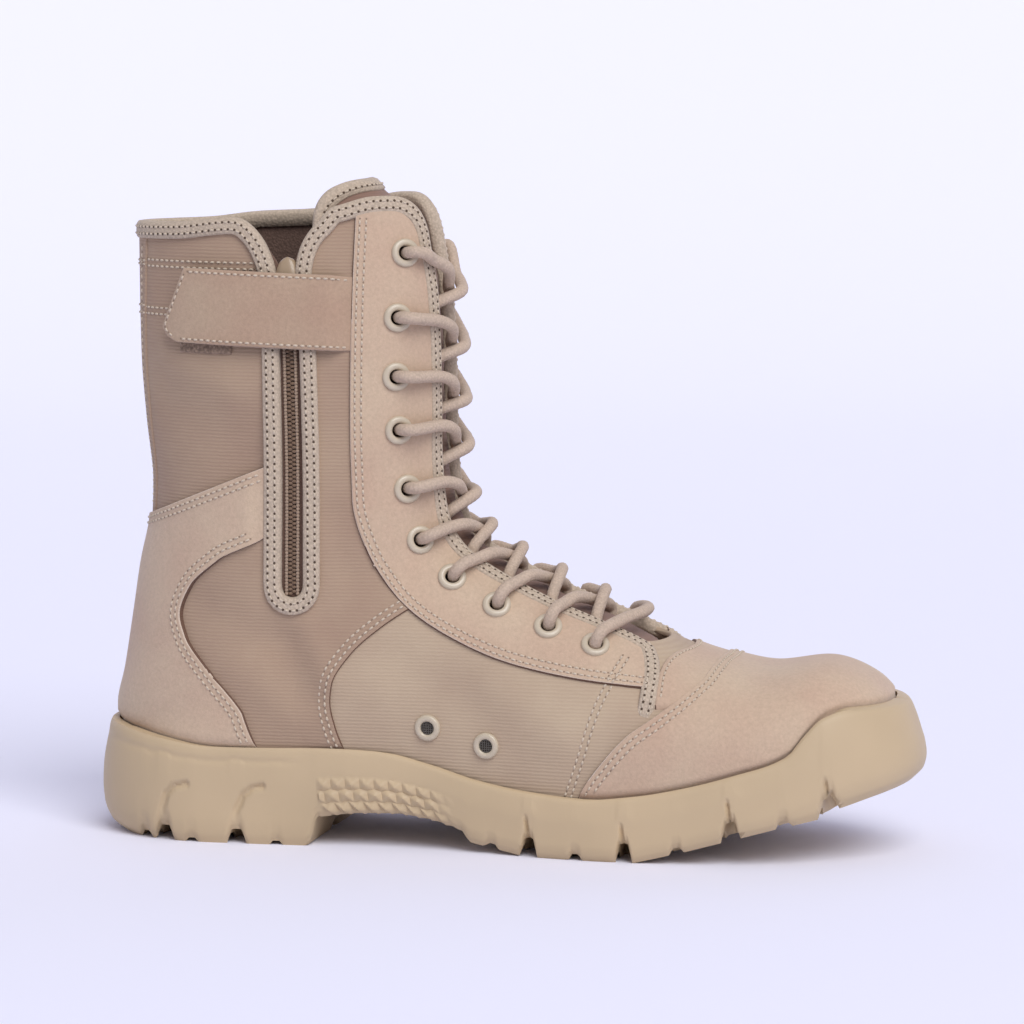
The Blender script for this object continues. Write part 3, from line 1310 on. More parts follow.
def build_insole():
    x = np.linspace(HEEL_END + INSOLE_MARGIN, TOE_END - INSOLE_MARGIN, 120)
    place = x * (FOOT_END - INSOLE_SHORTER) / TOE_END
    half = FOOT_NARROWING * sole_half(x) * INSOLE_NARROWING
    u = np.linspace(-1.0, 1.0, 31)
    y = outline_centre(x)[:, None] + half[:, None] * u
    z = np.broadcast_to(floor_height(place)[:, None] + INSOLE_TOP, y.shape)
    dish = INSOLE_DISH * (np.abs(u) ** 4)[None, :] - INSOLE_DIP
    points = np.stack((np.broadcast_to(place[:, None], y.shape), y, z + dish), axis=-1)
    normals = np.broadcast_to(np.array([0.0, 0.0, 1.0]), points.shape)
    faces = face_the(points.reshape(-1, 3), grid_faces(*y.shape), normals.reshape(-1, 3))
    piece = add_piece("insole_pad", points, faces, ["lining"], "insole_foam", ["insole"])
    thicken(piece, INSOLE_THICKNESS)


# Upper
CREASE_EASE = (-130.0, 10.0)


def canvas_relief(points, side):
    """Height of the creases."""
    x = points[..., 0]
    z = points[..., 2]
    out = np.zeros(x.shape)
    for row in CREASES:
        if row.side == side:
            near = segment_distance(x, z, (row.x0, row.z0), (row.x1, row.z1))
            out -= row.depth * np.exp(-(near / row.width) ** 2)
    return out * eased(x, *CREASE_EASE)


def on_canvas(x, z, side):
    """Points on the creased canvas, seen from the side at x and z, with the directions out of it."""
    points, normals = LAST.seen(x, z, side)
    return points + canvas_relief(points, side)[..., None] * normals, normals


# The quarter's lap, behind its edge: distance from it and height
QUARTER_EDGE = ((0.0, 0.75), (0.15, 0.85), (0.3, 0.9), (0.8, 0.9), (1.6, 0.88), (3.0, 0.8), (5.0, 0.66),
                (8.0, 0.4), (12.0, 0.1), (15.0, -0.15))
QUARTER_ROUND = 0.12


def quarter_panel(side):
    """The quarter's front edge, which laps over the vamp."""
    x, z = polyline(QUARTER_SEAM, 140)
    ahead = unit(np.stack((np.gradient(x), np.gradient(z)), axis=1))
    behind, lifts = np.transpose(QUARTER_EDGE)[:, :, None]
    points, normals = on_canvas(x - ahead[:, 1] * behind, z + ahead[:, 0] * behind, side)
    return Panel(points, normals).raise_by(lifts + 0.0 * points[..., 0], ("first_row",), QUARTER_ROUND)


UPPER_COLUMNS = 50
SHAFT_STATION = 19.3


def upper_half(side):
    """Stations and shares of one side, in rows that bend to the collar at the shaft's top."""
    shares = edged(UPPER_COLUMNS, 0.02)
    foot = np.concatenate((
        np.linspace(0.0, 1.0, 14),
        np.linspace(1.0, THROAT_END, 74)[1:],
        THROAT_END + THROAT_ROUND * np.linspace(0.0, 1.0, 14)[1:] ** 2,
        np.linspace(THROAT_END + THROAT_ROUND, HEEL_CORNER, 90)[1:],
        np.linspace(HEEL_CORNER, SHAFT_STATION, 76)[1:],
    ))
    edge = np.where(foot > THROAT_END, throat_edge(foot, side), 1.0)
    stations = [np.broadcast_to(foot[:, None], (len(foot), len(shares)))]
    arounds = [edge[:, None] * shares[None, :]]
    last = foot[-1]
    for k in np.linspace(0.0, 1.0, 52)[1:]:
        edge = np.full(len(shares), throat_edge(last, side))
        for _ in range(5):
            top = collar_station(edge * shares, side)
            station = last + (top - last) * k
            edge = throat_edge(station, side)
        stations.append(station[None, :])
        arounds.append((edge * shares)[None, :])
    return np.concatenate(stations), np.concatenate(arounds)


SLOT_FOOT = SideRow(0.5 * (SLOT[0].rear + SLOT[0].front), SLOT[0].z)
SLOT_FOOT_RADIUS = 0.5 * (SLOT[0].front - SLOT[0].rear)


def slot_clearance(x, z):
    """Distance outside the zip's slot, negative inside, seen from the medial side."""
    beside = np.maximum(slot_rear(z) - x, x - slot_front(z))
    below = np.hypot(x - SLOT_FOOT.x, z - SLOT_FOOT.z) - SLOT_FOOT_RADIUS
    return np.where(z > SLOT_FOOT.z, beside, below)


SLOT_MARGIN = 2.4
EYELET_PUNCH = 3.4
CANVAS_PUNCH = EYELET_PUNCH + 0.4
VAMP_LAP = 1.5
VAMP_TOP = QUARTER_SEAM[-1].z + 6.0
FOREFOOT_RISE = 1.5
FOREFOOT_RISE_FROM = 60.9
BACK_SEAM_FROM = {MEDIAL: -83.0, LATERAL: -53.0}
BACK_SEAM_TO = -131.0
SEAM_POINTS = 90
SEAM_INSET = 2.0


def build_upper():
    halves = []
    holes = np.concatenate([eyelet_seats(side)[0] for side in SIDES])
    for side in SIDES:
        spots, outs = LAST.seat(*upper_half(side), side)
        spots = spots + canvas_relief(spots, side)[..., None] * outs
        flat = spots.reshape(-1, 3)
        out = outs.reshape(-1, 3)
        made = face_the(flat, grid_faces(*spots.shape[:2]), out)
        middles = flat[made].mean(axis=1)
        if side == MEDIAL:
            made = made[slot_clearance(middles[:, 0], middles[:, 2]) > SLOT_MARGIN]
        halves.append(punched(flat, made, out, holes, CANVAS_PUNCH))
    points, faces = merged(halves)
    line_x, line_z = polyline(QUARTER_SEAM, 60)
    middles = points[faces].mean(axis=1)
    ahead = middles[:, 0] > np.interp(middles[:, 2], line_z, line_x) - VAMP_LAP
    cloth = np.where(ahead & (middles[:, 2] < VAMP_TOP), 2, 0)
    piece = add_piece("upper_canvas", points, faces, ["canvas", "lining", "vamp", "lining"], "canvas",
                      ["upper"], face_slots=cloth, weld=True)
    thicken(piece, WALL, lining=1)


def sew_canvas():
    """The quarters' lapped front edges, and the seams that show on the canvas."""
    lines = []
    half_gap = 0.5 * size_of("row_gap")
    for side, name in SIDE_NAMES.items():
        quarter = quarter_panel(side)
        quarter.add(f"quarter_{name}_edge", ["canvas", "canvas", "inked_edge"], "canvas")
        lines += pairs(quarter, "first_row", SEAM_INSET)
        spots, normals = on_canvas(*polyline(FOREFOOT_SEAM, SEAM_POINTS), side)
        over = FOREFOOT_RISE * smooth_step(spots[:, 2] - FOREFOOT_RISE_FROM)
        forefoot = (spots + over[:, None] * normals, normals)
        lines += [shifted(forefoot, -half_gap), shifted(forefoot, half_gap)]
        x = np.linspace(BACK_SEAM_FROM[side], BACK_SEAM_TO, SEAM_POINTS)
        lines += [on_canvas(x, np.full(SEAM_POINTS, z), side) for z in back_seam_rows()]
    sew("canvas_stitches", lines, "canvas")


TONGUE_REST = WALL + 1.2
TONGUE_TUCK = 3.2
TUCK_EASE = (-9.0, 8.0)
TUCK_END_EASE = (21.3, 1.4)
QUILT_DEPTH = 0.25
QUILT_PITCH = 1.9
QUILT_TO = 22.0
TONGUE_THICKNESS = 3.0
TONGUE_BINDING = (
    (5.0, 0.1), (4.8, 0.9), (0.6, 1.2), (-0.9, 0.5), (-1.5, -1.4), (-0.9, -3.2), (0.6, -4.0), (4.8, -3.8),
    (5.0, -3.0),
)
TONGUE_SEAM_INSET = 3.0
TONGUE_SEAM_LIFT = 1.1


def build_tongue():
    half_at = column(TONGUE, "station", "half")
    lean_at = column(TONGUE, "station", "lean")
    stations = np.linspace(TONGUE[0].station, TONGUE[-1].station, 170)
    top = stations[-1]
    shares = np.linspace(0.0, 1.0, 25)
    halves = []
    for side in SIDES:
        station = np.broadcast_to(stations[:, None], (len(stations), len(shares)))
        droop = np.maximum(0.0, (station - TONGUE_DROOP_FROM) / (top - TONGUE_DROOP_FROM))
        here = station - TONGUE_DROOP * shares ** TONGUE_DROOP_POWER * droop
        reach = half_at(here) * shares
        around = 1.0 - reach / LAST.length(here, side)
        out = LAST.normal(here, around, side)
        tucked = eased(reach - throat_half(here), *TUCK_EASE)
        tucked = tucked * (1.0 - eased(station, *TUCK_END_EASE))
        quilt = QUILT_DEPTH * np.cos(2.0 * math.pi * (station - TONGUE[0].station) / QUILT_PITCH)
        depth = TONGUE_REST + TONGUE_TUCK * tucked - quilt * (1.0 - tucked) * (station < QUILT_TO)
        back = np.zeros(out.shape)
        back[..., 0] = -lean_at(station) * (1.0 - shares ** 2)
        halves.append(Panel(LAST.at(here, around, side) - depth[..., None] * out + back, out))
    panel = Panel.joined(*halves)
    thicken(panel.add("tongue_pad", ["tongue"], "canvas", ["tongue"]), TONGUE_THICKNESS)
    bind_tongue(panel)


def bind_tongue(panel):
    """The tape over the tongue's top edge, with its stitches."""
    path = panel.points[-1]
    out = panel.normals[-1]
    ahead = unit(np.gradient(path, axis=0))
    down = unit(panel.points[-6] - panel.points[-1])
    up = unit(np.cross(ahead, down))
    up = up * np.sign(np.sum(up * out, axis=1, keepdims=True))
    points, faces = tube(path, down, up, TONGUE_BINDING)
    add_piece("tongue_binding", points, faces, ["webbing"], "webbing", closed=True)
    seam = path + TONGUE_SEAM_INSET * down + TONGUE_SEAM_LIFT * up
    sew("tongue_stitches", [(seam, up)], "webbing", "needle_hole", HOLE_RADIUS)


# Overlays
def cap_edge(side):
    """Station of the toe cap's rear edge by the share of the way from ridge to rim."""
    rows = (TOE_CAP_BACK, *reversed(TOE_CAP_EDGE))
    station, around = LAST.locate(*np.transpose(rows), side)
    shares = (1.0 - around) / (1.0 - LAST.rim_edge(station, side, 1.0))
    shares[0] = 0.0
    shares[-1] = 1.0
    return curve_of(shares, station)


RIM_TUCK = -3.5
TOE_START = 0.5
SADDLE_END = 5.8
SADDLE_MARGIN = 0.06
SADDLE_REAR = (
    (0.0, 0.1, 0.22, 0.32, 0.42, 0.52, 0.7, 1.0),
    (5.56, 5.6, 5.74, 5.85, 5.89, 5.87, 5.8, 5.78),
)
SADDLE_TUCK = 0.24
SADDLE_LIFT = 1.15
CAP_INSET = 2.2


def build_toe():
    edges = {side: cap_edge(side) for side in SIDES}
    across = np.concatenate((np.linspace(0.0, 0.97, 60), [0.985, 1.0]))
    along = closing(66)

    def cap(side):
        station = TOE_START + (edges[side](across)[None, :] - TOE_START) * along[:, None]
        return station, 1.0 - across[None, :] * (1.0 - LAST.rim_edge(station, side, RIM_TUCK))

    panel = Panel.over_both(cap).raise_by(SUEDE_LIFT, ("last_row",), floor=0.1)
    panel.add("toe_cap_suede", SUEDE_SHEET, "suede", ["toe_cap"])
    lines = pairs(panel, "last_row", CAP_INSET, (6.0, 6.0))
    widest = max(s for s in np.linspace(0.0, 1.0, 101) if edges[MEDIAL](s) < SADDLE_END - SADDLE_MARGIN)

    def saddle(side):
        spread = widest * edged(30)[:-4]
        near = edges[side](spread) - SADDLE_TUCK
        station = near[None, :] + (curve_of(*SADDLE_REAR)(spread) - near)[None, :] * edged(24)[:, None]
        return station, 1.0 - spread[None, :] * (1.0 - LAST.rim_edge(station, side, RIM_TUCK))

    panel = Panel.over_both(saddle).raise_by(SADDLE_LIFT, REAR_EDGES, floor=-0.2)
    panel.add("vamp_saddle_suede", ["suede", "suede", "inked_edge"], "suede", ["vamp_saddle"])
    lines += [panel.line("last_row", SEAM_INSET, (4.0, 4.0))]
    sew("toe_stitches", lines, "suede")


# The counter lies lower and flatter where the zip's tape covers it, and its seam stops short of the tape
ZIP_TUCK = 3.8
ZIP_TUCK_FROM = 6.0
MEDIAL_FROM = -10.0
COUNTER_SLIM = 0.9
COUNTER_SLIM_EASE = (-88.0, 6.0)
COUNTER_SEAM_CORNER = SideRow(-85.0, 108.0)
COUNTER_SEAM_TOP = 111.0


def build_counter():
    marks = np.arange(len(COUNTER), dtype=float)
    rows = np.concatenate((np.linspace(0.0, 8.9, 82), [8.93, 8.955, 8.975, 8.99, 9.0]))
    front_x, front_z, back_z = (curve_of(marks, values)(rows) for values in zip(*COUNTER))
    shares = closing(58)

    def half(side):
        back_x = section_column["back_x"](LAST.seam_station(back_z))
        front = front_x + (ZIP_TUCK * smooth_step(rows - ZIP_TUCK_FROM) if side == MEDIAL else 0.0)
        x = back_x[:, None] + (front - back_x)[:, None] * shares[None, :]
        z = back_z[:, None] + (front_z - back_z)[:, None] * shares[None, :]
        sunk = clamp(1.0 - rows)[:, None]
        z = z + sunk * (rim_height(x) + RIM_TUCK - z)
        station, around = LAST.locate(x, z, side)
        around[:, 0] = 0.0
        station[:, 0] = LAST.seam_station(z[:, 0])
        return station, around

    panel = Panel.over_both(half)
    near_zip = eased(panel.base[..., 0], *COUNTER_SLIM_EASE)
    beside_zip = (panel.base[..., 1] < MEDIAL_FROM) * near_zip
    panel.raise_by(SUEDE_LIFT - COUNTER_SLIM * beside_zip, REAR_EDGES, floor=-0.3)
    panel.add("heel_counter_suede", SUEDE_SHEET, "suede", ["heel_counter"])
    lines = []
    for spots, outs in pairs(panel, "first_column", SEAM_INSET, (4.0, 4.0)):
        keep = (spots[:, 2] < COUNTER_SEAM_CORNER.z) | (spots[:, 0] < COUNTER_SEAM_CORNER.x)
        keep &= spots[:, 2] < COUNTER_SEAM_TOP
        lines.append((spots[keep], outs[keep]))
    lines += pairs(panel, "last_column", SEAM_INSET, (4.0, 4.0))
    lines += pairs(panel, "last_row", SEAM_INSET, (4.5, 6.0))
    sew("counter_stitches", lines, "suede")


EYESTAY_TOE = 5.97
EYESTAY_START = 6.2
EYESTAY_TUCK = 3.0
EYESTAY_LIFT = SUEDE_LIFT - 0.35
EYESTAY_INSET = 1.8


def eyestay_panel(side):
    edge_station, edge_around = LAST.locate(*polyline(EYESTAY_EDGE, 260), side)
    order = np.argsort(edge_station)

    def outer(station):
        return np.interp(station, edge_station[order], edge_around[order])

    u = edged(30, 0.04)[None, :]
    v = edged(230, 0.005)[:, None] ** 1.08
    start = EYESTAY_TOE + (EYESTAY_START - EYESTAY_TOE) * u
    station = start + 0.0 * v
    for _ in range(6):
        inner = throat_edge(station, side, EYESTAY_TUCK)
        around = outer(station) + (inner - outer(station)) * u
        top = collar_station(around, side, EYESTAY_TUCK)
        station = start + (top - start) * v
    panel = Panel.on_side(station, around, side)
    return panel.raise_by(EYESTAY_LIFT, ("first_column", "first_row"), floor=-0.3)


def build_eyestays():
    lines = []
    for side, name in SIDE_NAMES.items():
        panel = eyestay_panel(side)
        panel.add(f"eyestay_{name}_suede", SUEDE_SHEET, "suede", [f"eyestay_{name}"],
                  eyelet_seats(side)[0], EYELET_PUNCH)
        lines += pairs(panel, "first_column", EYESTAY_INSET, (1.0, 3.2))
    sew("eyestay_stitches", lines, "suede")


STRIP_UNDER_COUNTER = 3.0
STRIP_BELOW_COLLAR = 2.0
STRIP_LIFT = 0.6
STRIP_INSET = 3.2


def build_back_strip():
    low = LAST.seam_station(COUNTER[-1].back_z - STRIP_UNDER_COUNTER)
    high = LAST.seam_station(COLLAR[0].z - STRIP_BELOW_COLLAR)
    stations = np.linspace(low, high, 90)[:, None]
    shares = np.concatenate((np.linspace(0.0, 0.95, 14), [0.97, 0.99, 1.0]))[None, :]

    def half(side):
        station = stations + 0.0 * shares
        return station, BACK_STRIP_HALF * shares / LAST.length(station, side)

    panel = Panel.over_both(half).raise_by(STRIP_LIFT, SIDE_EDGES, floor=-0.2)
    panel.add("back_strip_canvas", ["canvas"], "canvas", ["back_strip"])
    lines = [panel.line(edge, STRIP_INSET, (4.0, 6.0)) for edge in SIDE_EDGES]
    heights = panel.base[:, panel.base.shape[1] // 2, 2]
    for z in back_seam_rows():
        row = panel.base[np.argmin(np.abs(heights - z))]
        lines.append(panel.on_sheet(evenly(row, row, LINE_STEP)[0]))
    sew("back_strip_stitches", lines, "canvas")


# Binding
FACING_FROM = 6.45
FACING_TO = 21.8
CORNER_STATION = 22.5


def facing_path(side):
    """The facing's edge from its foot up, with the directions out of it."""
    x, z = polyline(FACING_FOOT, 30)
    station, around = LAST.locate(x, z, side)
    foot = np.linspace(FACING_FROM, HEEL_CORNER, 120)
    shaft = np.linspace(HEEL_CORNER, FACING_TO, 130)
    marks = np.concatenate((foot, shaft[1:]))
    around = np.concatenate((around, throat_edge(marks, side)))
    return LAST.seat(np.concatenate((station, marks)), around, side)


def collar_path(side):
    """The collar's edge from its front corner to the back seam."""
    corner = 1.0 - 0.15 * np.linspace(0.0, 1.0, 40) ** 1.5
    shares = np.concatenate((corner, np.linspace(0.85, 0.0, 110)[1:]))
    around = throat_edge(CORNER_STATION, side) * shares
    return LAST.seat(collar_station(around, side), around, side)


def slot_path():
    """The slot's edge, down its rear and up its front."""
    heights = np.linspace(SLOT[-2].z, SLOT_FOOT.z, 90)
    turn = np.linspace(0.0, math.pi, 26)[1:-1]
    foot_x = SLOT_FOOT.x - SLOT_FOOT_RADIUS * np.cos(turn)
    foot_z = SLOT_FOOT.z - SLOT_FOOT_RADIUS * np.sin(turn)
    x = np.concatenate((slot_rear(heights), foot_x, slot_front(heights[::-1])))
    z = np.concatenate((heights, foot_z, heights[::-1]))
    return LAST.seen(x, z, MEDIAL)


def smoothed(path, passes):
    for _ in range(passes):
        inner = 0.25 * path[:-2] + 0.5 * path[1:-1] + 0.25 * path[2:]
        path = np.concatenate((path[:1], inner, path[-1:]))
    return path


def evenly(path, normals, step):
    """The path with its normals, cut into even steps."""
    along = travelled(path)
    t = np.linspace(0.0, along[-1], int(along[-1] / step))
    return picked(t, along, path), unit(picked(t, along, normals))


BINDING_SECTION = (
    (5.6, -0.2), (5.6, 1.1), (5.1, 1.5), (2.8, 1.7), (0.7, 1.6), (-0.3, 0.9), (-0.6, -1.1), (-0.3, -2.9),
    (0.6, -3.5), (5.0, -3.3), (5.2, -2.5),
)
SLOT_TURN = 3.0
BINDING_STEP = 1.2
FACING_SINK_OVER = 7.0
BINDING_SEAMS = (1.5, 4.0)


def build_binding():
    collar, collar_out = (values[::-1] for values in collar_path(MEDIAL))
    rear = collar[:, 0] < SLOT[-2].rear - SLOT_TURN
    front = collar[:, 0] > SLOT[-2].front + SLOT_TURN
    stretches = [
        facing_path(LATERAL),
        collar_path(LATERAL),
        (collar[rear], collar_out[rear]),
        slot_path(),
        (collar[front], collar_out[front]),
        [values[::-1] for values in facing_path(MEDIAL)],
    ]
    path, normals = (np.concatenate(values) for values in zip(*stretches))
    path, normals = evenly(path, normals, BINDING_STEP)
    path = smoothed(path, 3)
    normals = unit(smoothed(normals, 6))
    steps = np.arange(len(path))
    ends = BINDING_STEP * np.minimum(steps, steps[::-1])
    path = path - (FACING_SINK * (1.0 - smooth_step(ends / FACING_SINK_OVER)))[:, None] * normals
    ahead = unit(np.gradient(path, axis=0))
    inward = unit(-np.cross(normals, ahead))
    points, faces = tube(path, inward, normals, BINDING_SECTION)
    add_piece("edge_binding_tape", points, faces, ["webbing"], "webbing", ["edge_binding"], closed=True)
    lines = [(path + offset * inward + TAPE_LIFT * normals, normals) for offset in BINDING_SEAMS]
    sew("binding_stitches", lines, "webbing", "needle_hole", HOLE_RADIUS)


# Zip and strap
ZIP_FROM = 88.0
ZIP_TO = 203.5
ZIP_LOBE = 14.0
ZIP_LAP = 1.6
ZIP_SINK = -1.7
ZIP_CLOTH = 0.6
UPWARD = np.array([0.0, 0.0, 1.0])

# The coil's turns, and the thread that shows beside them
COIL_FROM = 90.2
CHAIN_TO = 200.0
COIL_ASIDE = 0.7
COIL_SINK = -0.9
COIL_LENGTH = 1.9
COIL_RADIUS = 0.62
COIL_THREAD_FROM = 89.8
COIL_THREAD_PITCH = 0.8
COIL_THREAD_ASIDE = 2.0
COIL_THREAD_SINK = -0.75
COIL_THREAD_LENGTH = 1.5
COIL_THREAD_RADIUS = 0.66
ROD_RINGS = 7
ROD_SIDES = 8
ROD_BLUNT = 1.02

SLIDER_FROM = 197.0
SLIDER_TO = 208.4
SLIDER_SHOULDER = 200.2
SLIDER_HALF = 4.5
SLIDER_FOOT = 1.2
SLIDER_SINK = -1.4
SLIDER_DOME = 3.2


def on_medial(x, z, lift):
    """Points off the medial side, seen at x and z, with the directions out of it."""
    points, normals = LAST.seen(x, z, MEDIAL)
    return points + np.asarray(lift)[..., None] * normals, normals


def capsules(name, centres, along, out, length, radius, materials, slot, replaced=()):
    """One mesh of small rounded rods, each about its own centre."""
    rings = np.linspace(-1.0, 1.0, ROD_RINGS)
    turns = circle(ROD_SIDES)[None, :, None]
    fat = radius * np.sqrt(ROD_BLUNT - rings ** 2)
    across = np.cross(along, out)
    turned = np.cos(turns) * out[:, None, :] + np.sin(turns) * across[:, None, :]
    axis = 0.5 * length * rings[None, :, None, None] * along[:, None, None, :]
    cloud = centres[:, None, None, :] + axis + fat[None, :, None, None] * turned[:, None, :, :]
    first = np.arange(len(centres)) * ROD_RINGS * ROD_SIDES
    faces = (hoop_faces(ROD_RINGS, ROD_SIDES)[None] + first[:, None, None]).reshape(-1, 4)
    return add_piece(name, cloud, faces, materials, slot, replaced)


def slot_middle(z):
    return 0.5 * (slot_rear(z) + slot_front(z))


def build_zip_tape():
    t = np.linspace(0.0, 1.0, 130)[:, None]
    u = np.linspace(-1.0, 1.0, 41)[None, :]
    z = ZIP_FROM + (ZIP_TO + ZIP_LOBE * u ** 2 - ZIP_FROM) * t
    x = slot_middle(z) + (0.5 * (slot_front(z) - slot_rear(z)) + ZIP_LAP) * u
    panel = Panel(*on_medial(x, z, ZIP_SINK))
    thicken(panel.add("zip_tape_cloth", ["zip_cloth"], "zip_cloth", ["zip_tape"]), ZIP_CLOTH)


def build_zip_chain():
    pitch = size_of("tooth_pitch")
    teeth = []
    edges = []
    for way in (-1, 1):
        heights = np.arange(COIL_FROM, CHAIN_TO, pitch) + 0.25 * pitch * way
        teeth.append(on_medial(slot_middle(heights) + COIL_ASIDE * way, heights, COIL_SINK))
        heights = np.arange(COIL_THREAD_FROM, CHAIN_TO, COIL_THREAD_PITCH * pitch)
        edges.append(on_medial(slot_middle(heights) + COIL_THREAD_ASIDE * way, heights, COIL_THREAD_SINK))
    centres, out = (np.concatenate(v) for v in zip(*teeth))
    level = unit(np.cross(out, UPWARD))
    capsules("zip_coil", centres, level, out, COIL_LENGTH, COIL_RADIUS, ["coil"], "zip_coil", ["zip_chain"])
    centres, out = (np.concatenate(v) for v in zip(*edges))
    steep = unit(np.cross(unit(np.cross(out, UPWARD)), out))
    capsules("zip_coil_sides", centres, steep, out, COIL_THREAD_LENGTH, COIL_THREAD_RADIUS,
             ["coil_thread"], "zip_coil")


def build_zip_slider():
    z = np.linspace(SLIDER_FROM, SLIDER_TO, 30)[:, None]
    u = np.linspace(-1.0, 1.0, 25)[None, :]
    top = clamp((z - SLIDER_SHOULDER) / (SLIDER_TO - SLIDER_SHOULDER))
    half = np.maximum(SLIDER_HALF * np.sqrt(1.0 - top ** 2.4), 0.05)
    low = clamp((z - SLIDER_FROM) / SLIDER_FOOT)
    dome = np.sqrt(low * (1.0 - 0.75 * top ** 2)) * np.sqrt(np.maximum(0.0, 1.0 - np.abs(u) ** 3.0))
    x = slot_middle(SLIDER_FROM) + half * u
    panel = Panel(*on_medial(x, z + 0.0 * u, SLIDER_SINK + SLIDER_DOME * dome))
    panel.add("zip_slider_body", ["slider"], "painted_metal", ["zip_slider"])


# The strap rises over the edge of the facing, and bulges over its patch
STRAP_LIFT = 0.8
STRAP_RISE = 3.2
STRAP_RISE_EASE = (-51.0, -8.0)
STRAP_BULGE = 0.4
STRAP_BULGE_AT = -104.0
STRAP_BULGE_WIDTH = 16.0
STRAP_ROUND = 0.9
STRAP_DROP = 0.8
STRAP_THICKNESS = 1.5
STRAP_INSET = 1.4
PATCH_SHORTER = 6.5
PILE_HEIGHT = 1.2
PILE_SPREAD = 0.5
PILE_ROUND = 0.8


def build_strap():
    z = STRAP[0].z + (STRAP[-1].z - STRAP[0].z) * edged(26, 0.04)
    rear = np.interp(z, *np.transpose(STRAP))
    u = edged(66, 0.016)
    x = STRAP_FRONT + (rear - STRAP_FRONT)[:, None] * u[None, :]
    zz = z[:, None] + STRAP_TILT * u[None, :]
    bulge = STRAP_BULGE * np.exp(-((x - STRAP_BULGE_AT) / STRAP_BULGE_WIDTH) ** 2)
    rise = STRAP_RISE * eased(x, *STRAP_RISE_EASE) + bulge
    panel = Panel(*LAST.seen(x, zz, MEDIAL))
    free_edges = ("first_row", "last_row", "last_column")
    away = np.minimum.reduce([edge_distance(panel.base, edge) for edge in free_edges])
    into = 1.0 - clamp(away / STRAP_ROUND)
    lift = STRAP_LIFT + rise - STRAP_DROP * (1.0 - np.sqrt(1.0 - into ** 2))
    panel.points = panel.base + lift[..., None] * panel.normals
    thicken(panel.add("strap_suede", ["strap"], "suede", ["strap"]), STRAP_THICKNESS)
    lines = [panel.line(edge, STRAP_INSET, (1.5, 1.4)) for edge in ("first_row", "last_row")]
    lines.append(panel.line("last_column", STRAP_INSET, (1.6, 1.6)))
    sew("strap_stitches", lines, "suede")


def build_strap_patch():
    low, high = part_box("strap_patch")
    z = np.linspace(low.z / MM, high.z / MM, 44)
    x = np.linspace(low.x / MM + PATCH_SHORTER, high.x / MM, 46)
    panel = Panel(*LAST.seen(x[None, :], z[:, None], MEDIAL))
    rng = np.random.default_rng(7)
    pile = PILE_HEIGHT + PILE_SPREAD * rng.random(panel.base.shape[:2])
    panel.raise_by(pile, radius=PILE_ROUND)
    panel.add("strap_patch_pile", ["loop_pile"], "loop_cloth", ["strap_patch"])


# Eyelets, vents and the lace
RING_PROFILE = (
    (2.5, -2.8), (2.5, -0.4), (2.62, 0.3), (2.95, 0.75), (3.6, 0.95), (4.5, 0.8), (5.0, 0.35), (5.1, -1.6),
    (3.2, -1.7), (3.0, -2.8),
)
RING_SIDES = 28
RING_SINK = 0.5
VENT_LIFT = 0.3
VENT_SCALE = 0.93
SCREEN_RADIUS = 2.5
SCREEN_LIFT = 0.15
WIRE_OFFSETS = np.linspace(-2.0, 2.0, 6)
WIRE_SECTION = [(0.17 * math.cos(turn), 0.17 * math.sin(turn)) for turn in circle(5)]
VENT_HOLE_SIDES = 20
VENT_HOLE_SINK = 0.2


def spokes_about(up, count):
    """Level and rising directions square to up, and spokes all round it."""
    level = unit(np.cross(up, UPWARD))
    rise = np.cross(level, up)
    turns = circle(count)[:, None]
    return level, rise, np.cos(turns) * level + np.sin(turns) * rise


def ring_at(place, up, scale=1.0):
    """Points and faces of one eyelet or vent ring."""
    spokes = spokes_about(up, RING_SIDES)[2]
    points = np.array([[place + scale * r * spoke + h * up for r, h in RING_PROFILE] for spoke in spokes])
    points = points.reshape(-1, 3)
    return points, hoop_faces(RING_SIDES + 1, len(RING_PROFILE)) % len(points)


def build_eyelets():
    rings = []
    nodes = []
    for side in SIDES:
        base, up = eyelet_seats(side)
        base = base + (EYELET_BASE - RING_SINK) * up
        rings += [ring_at(base[k], up[k]) for k in range(EYELET_COUNT)]
        nodes += eyelet_nodes(side)
    add_piece("eyelet_rings", *merged(rings), ["enamel"], "painted_metal", nodes, closed=True)


def build_vents():
    for number in (1, 2):
        low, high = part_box(f"vent_{number}")
        centre = np.array((low + high) / 2.0) / MM
        base, up = LAST.seen(centre[0], centre[2], MEDIAL)
        base = base + VENT_LIFT * up
        add_piece(f"vent_{number}_ring", *ring_at(base, up, VENT_SCALE), ["enamel"], "painted_metal",
                  [f"vent_{number}"], closed=True)
        level, rise, spokes = spokes_about(up, VENT_HOLE_SIDES)
        wires = []
        for way, across in ((level, rise), (rise, level)):
            for offset in WIRE_OFFSETS:
                reach = math.sqrt(SCREEN_RADIUS ** 2 - offset ** 2)
                along = np.linspace(-reach, reach, 6)[:, None]
                path = base + offset * across + along * way + SCREEN_LIFT * up
                wires.append(tube(path, across[None], up[None], WIRE_SECTION))
        add_piece(f"vent_{number}_screen", *merged(wires), ["screen"], "painted_metal")
        disc = base + SCREEN_RADIUS * spokes - VENT_HOLE_SINK * up
        add_piece(f"vent_{number}_hole", disc, [range(VENT_HOLE_SIDES)], ["needle_hole"], "canvas")


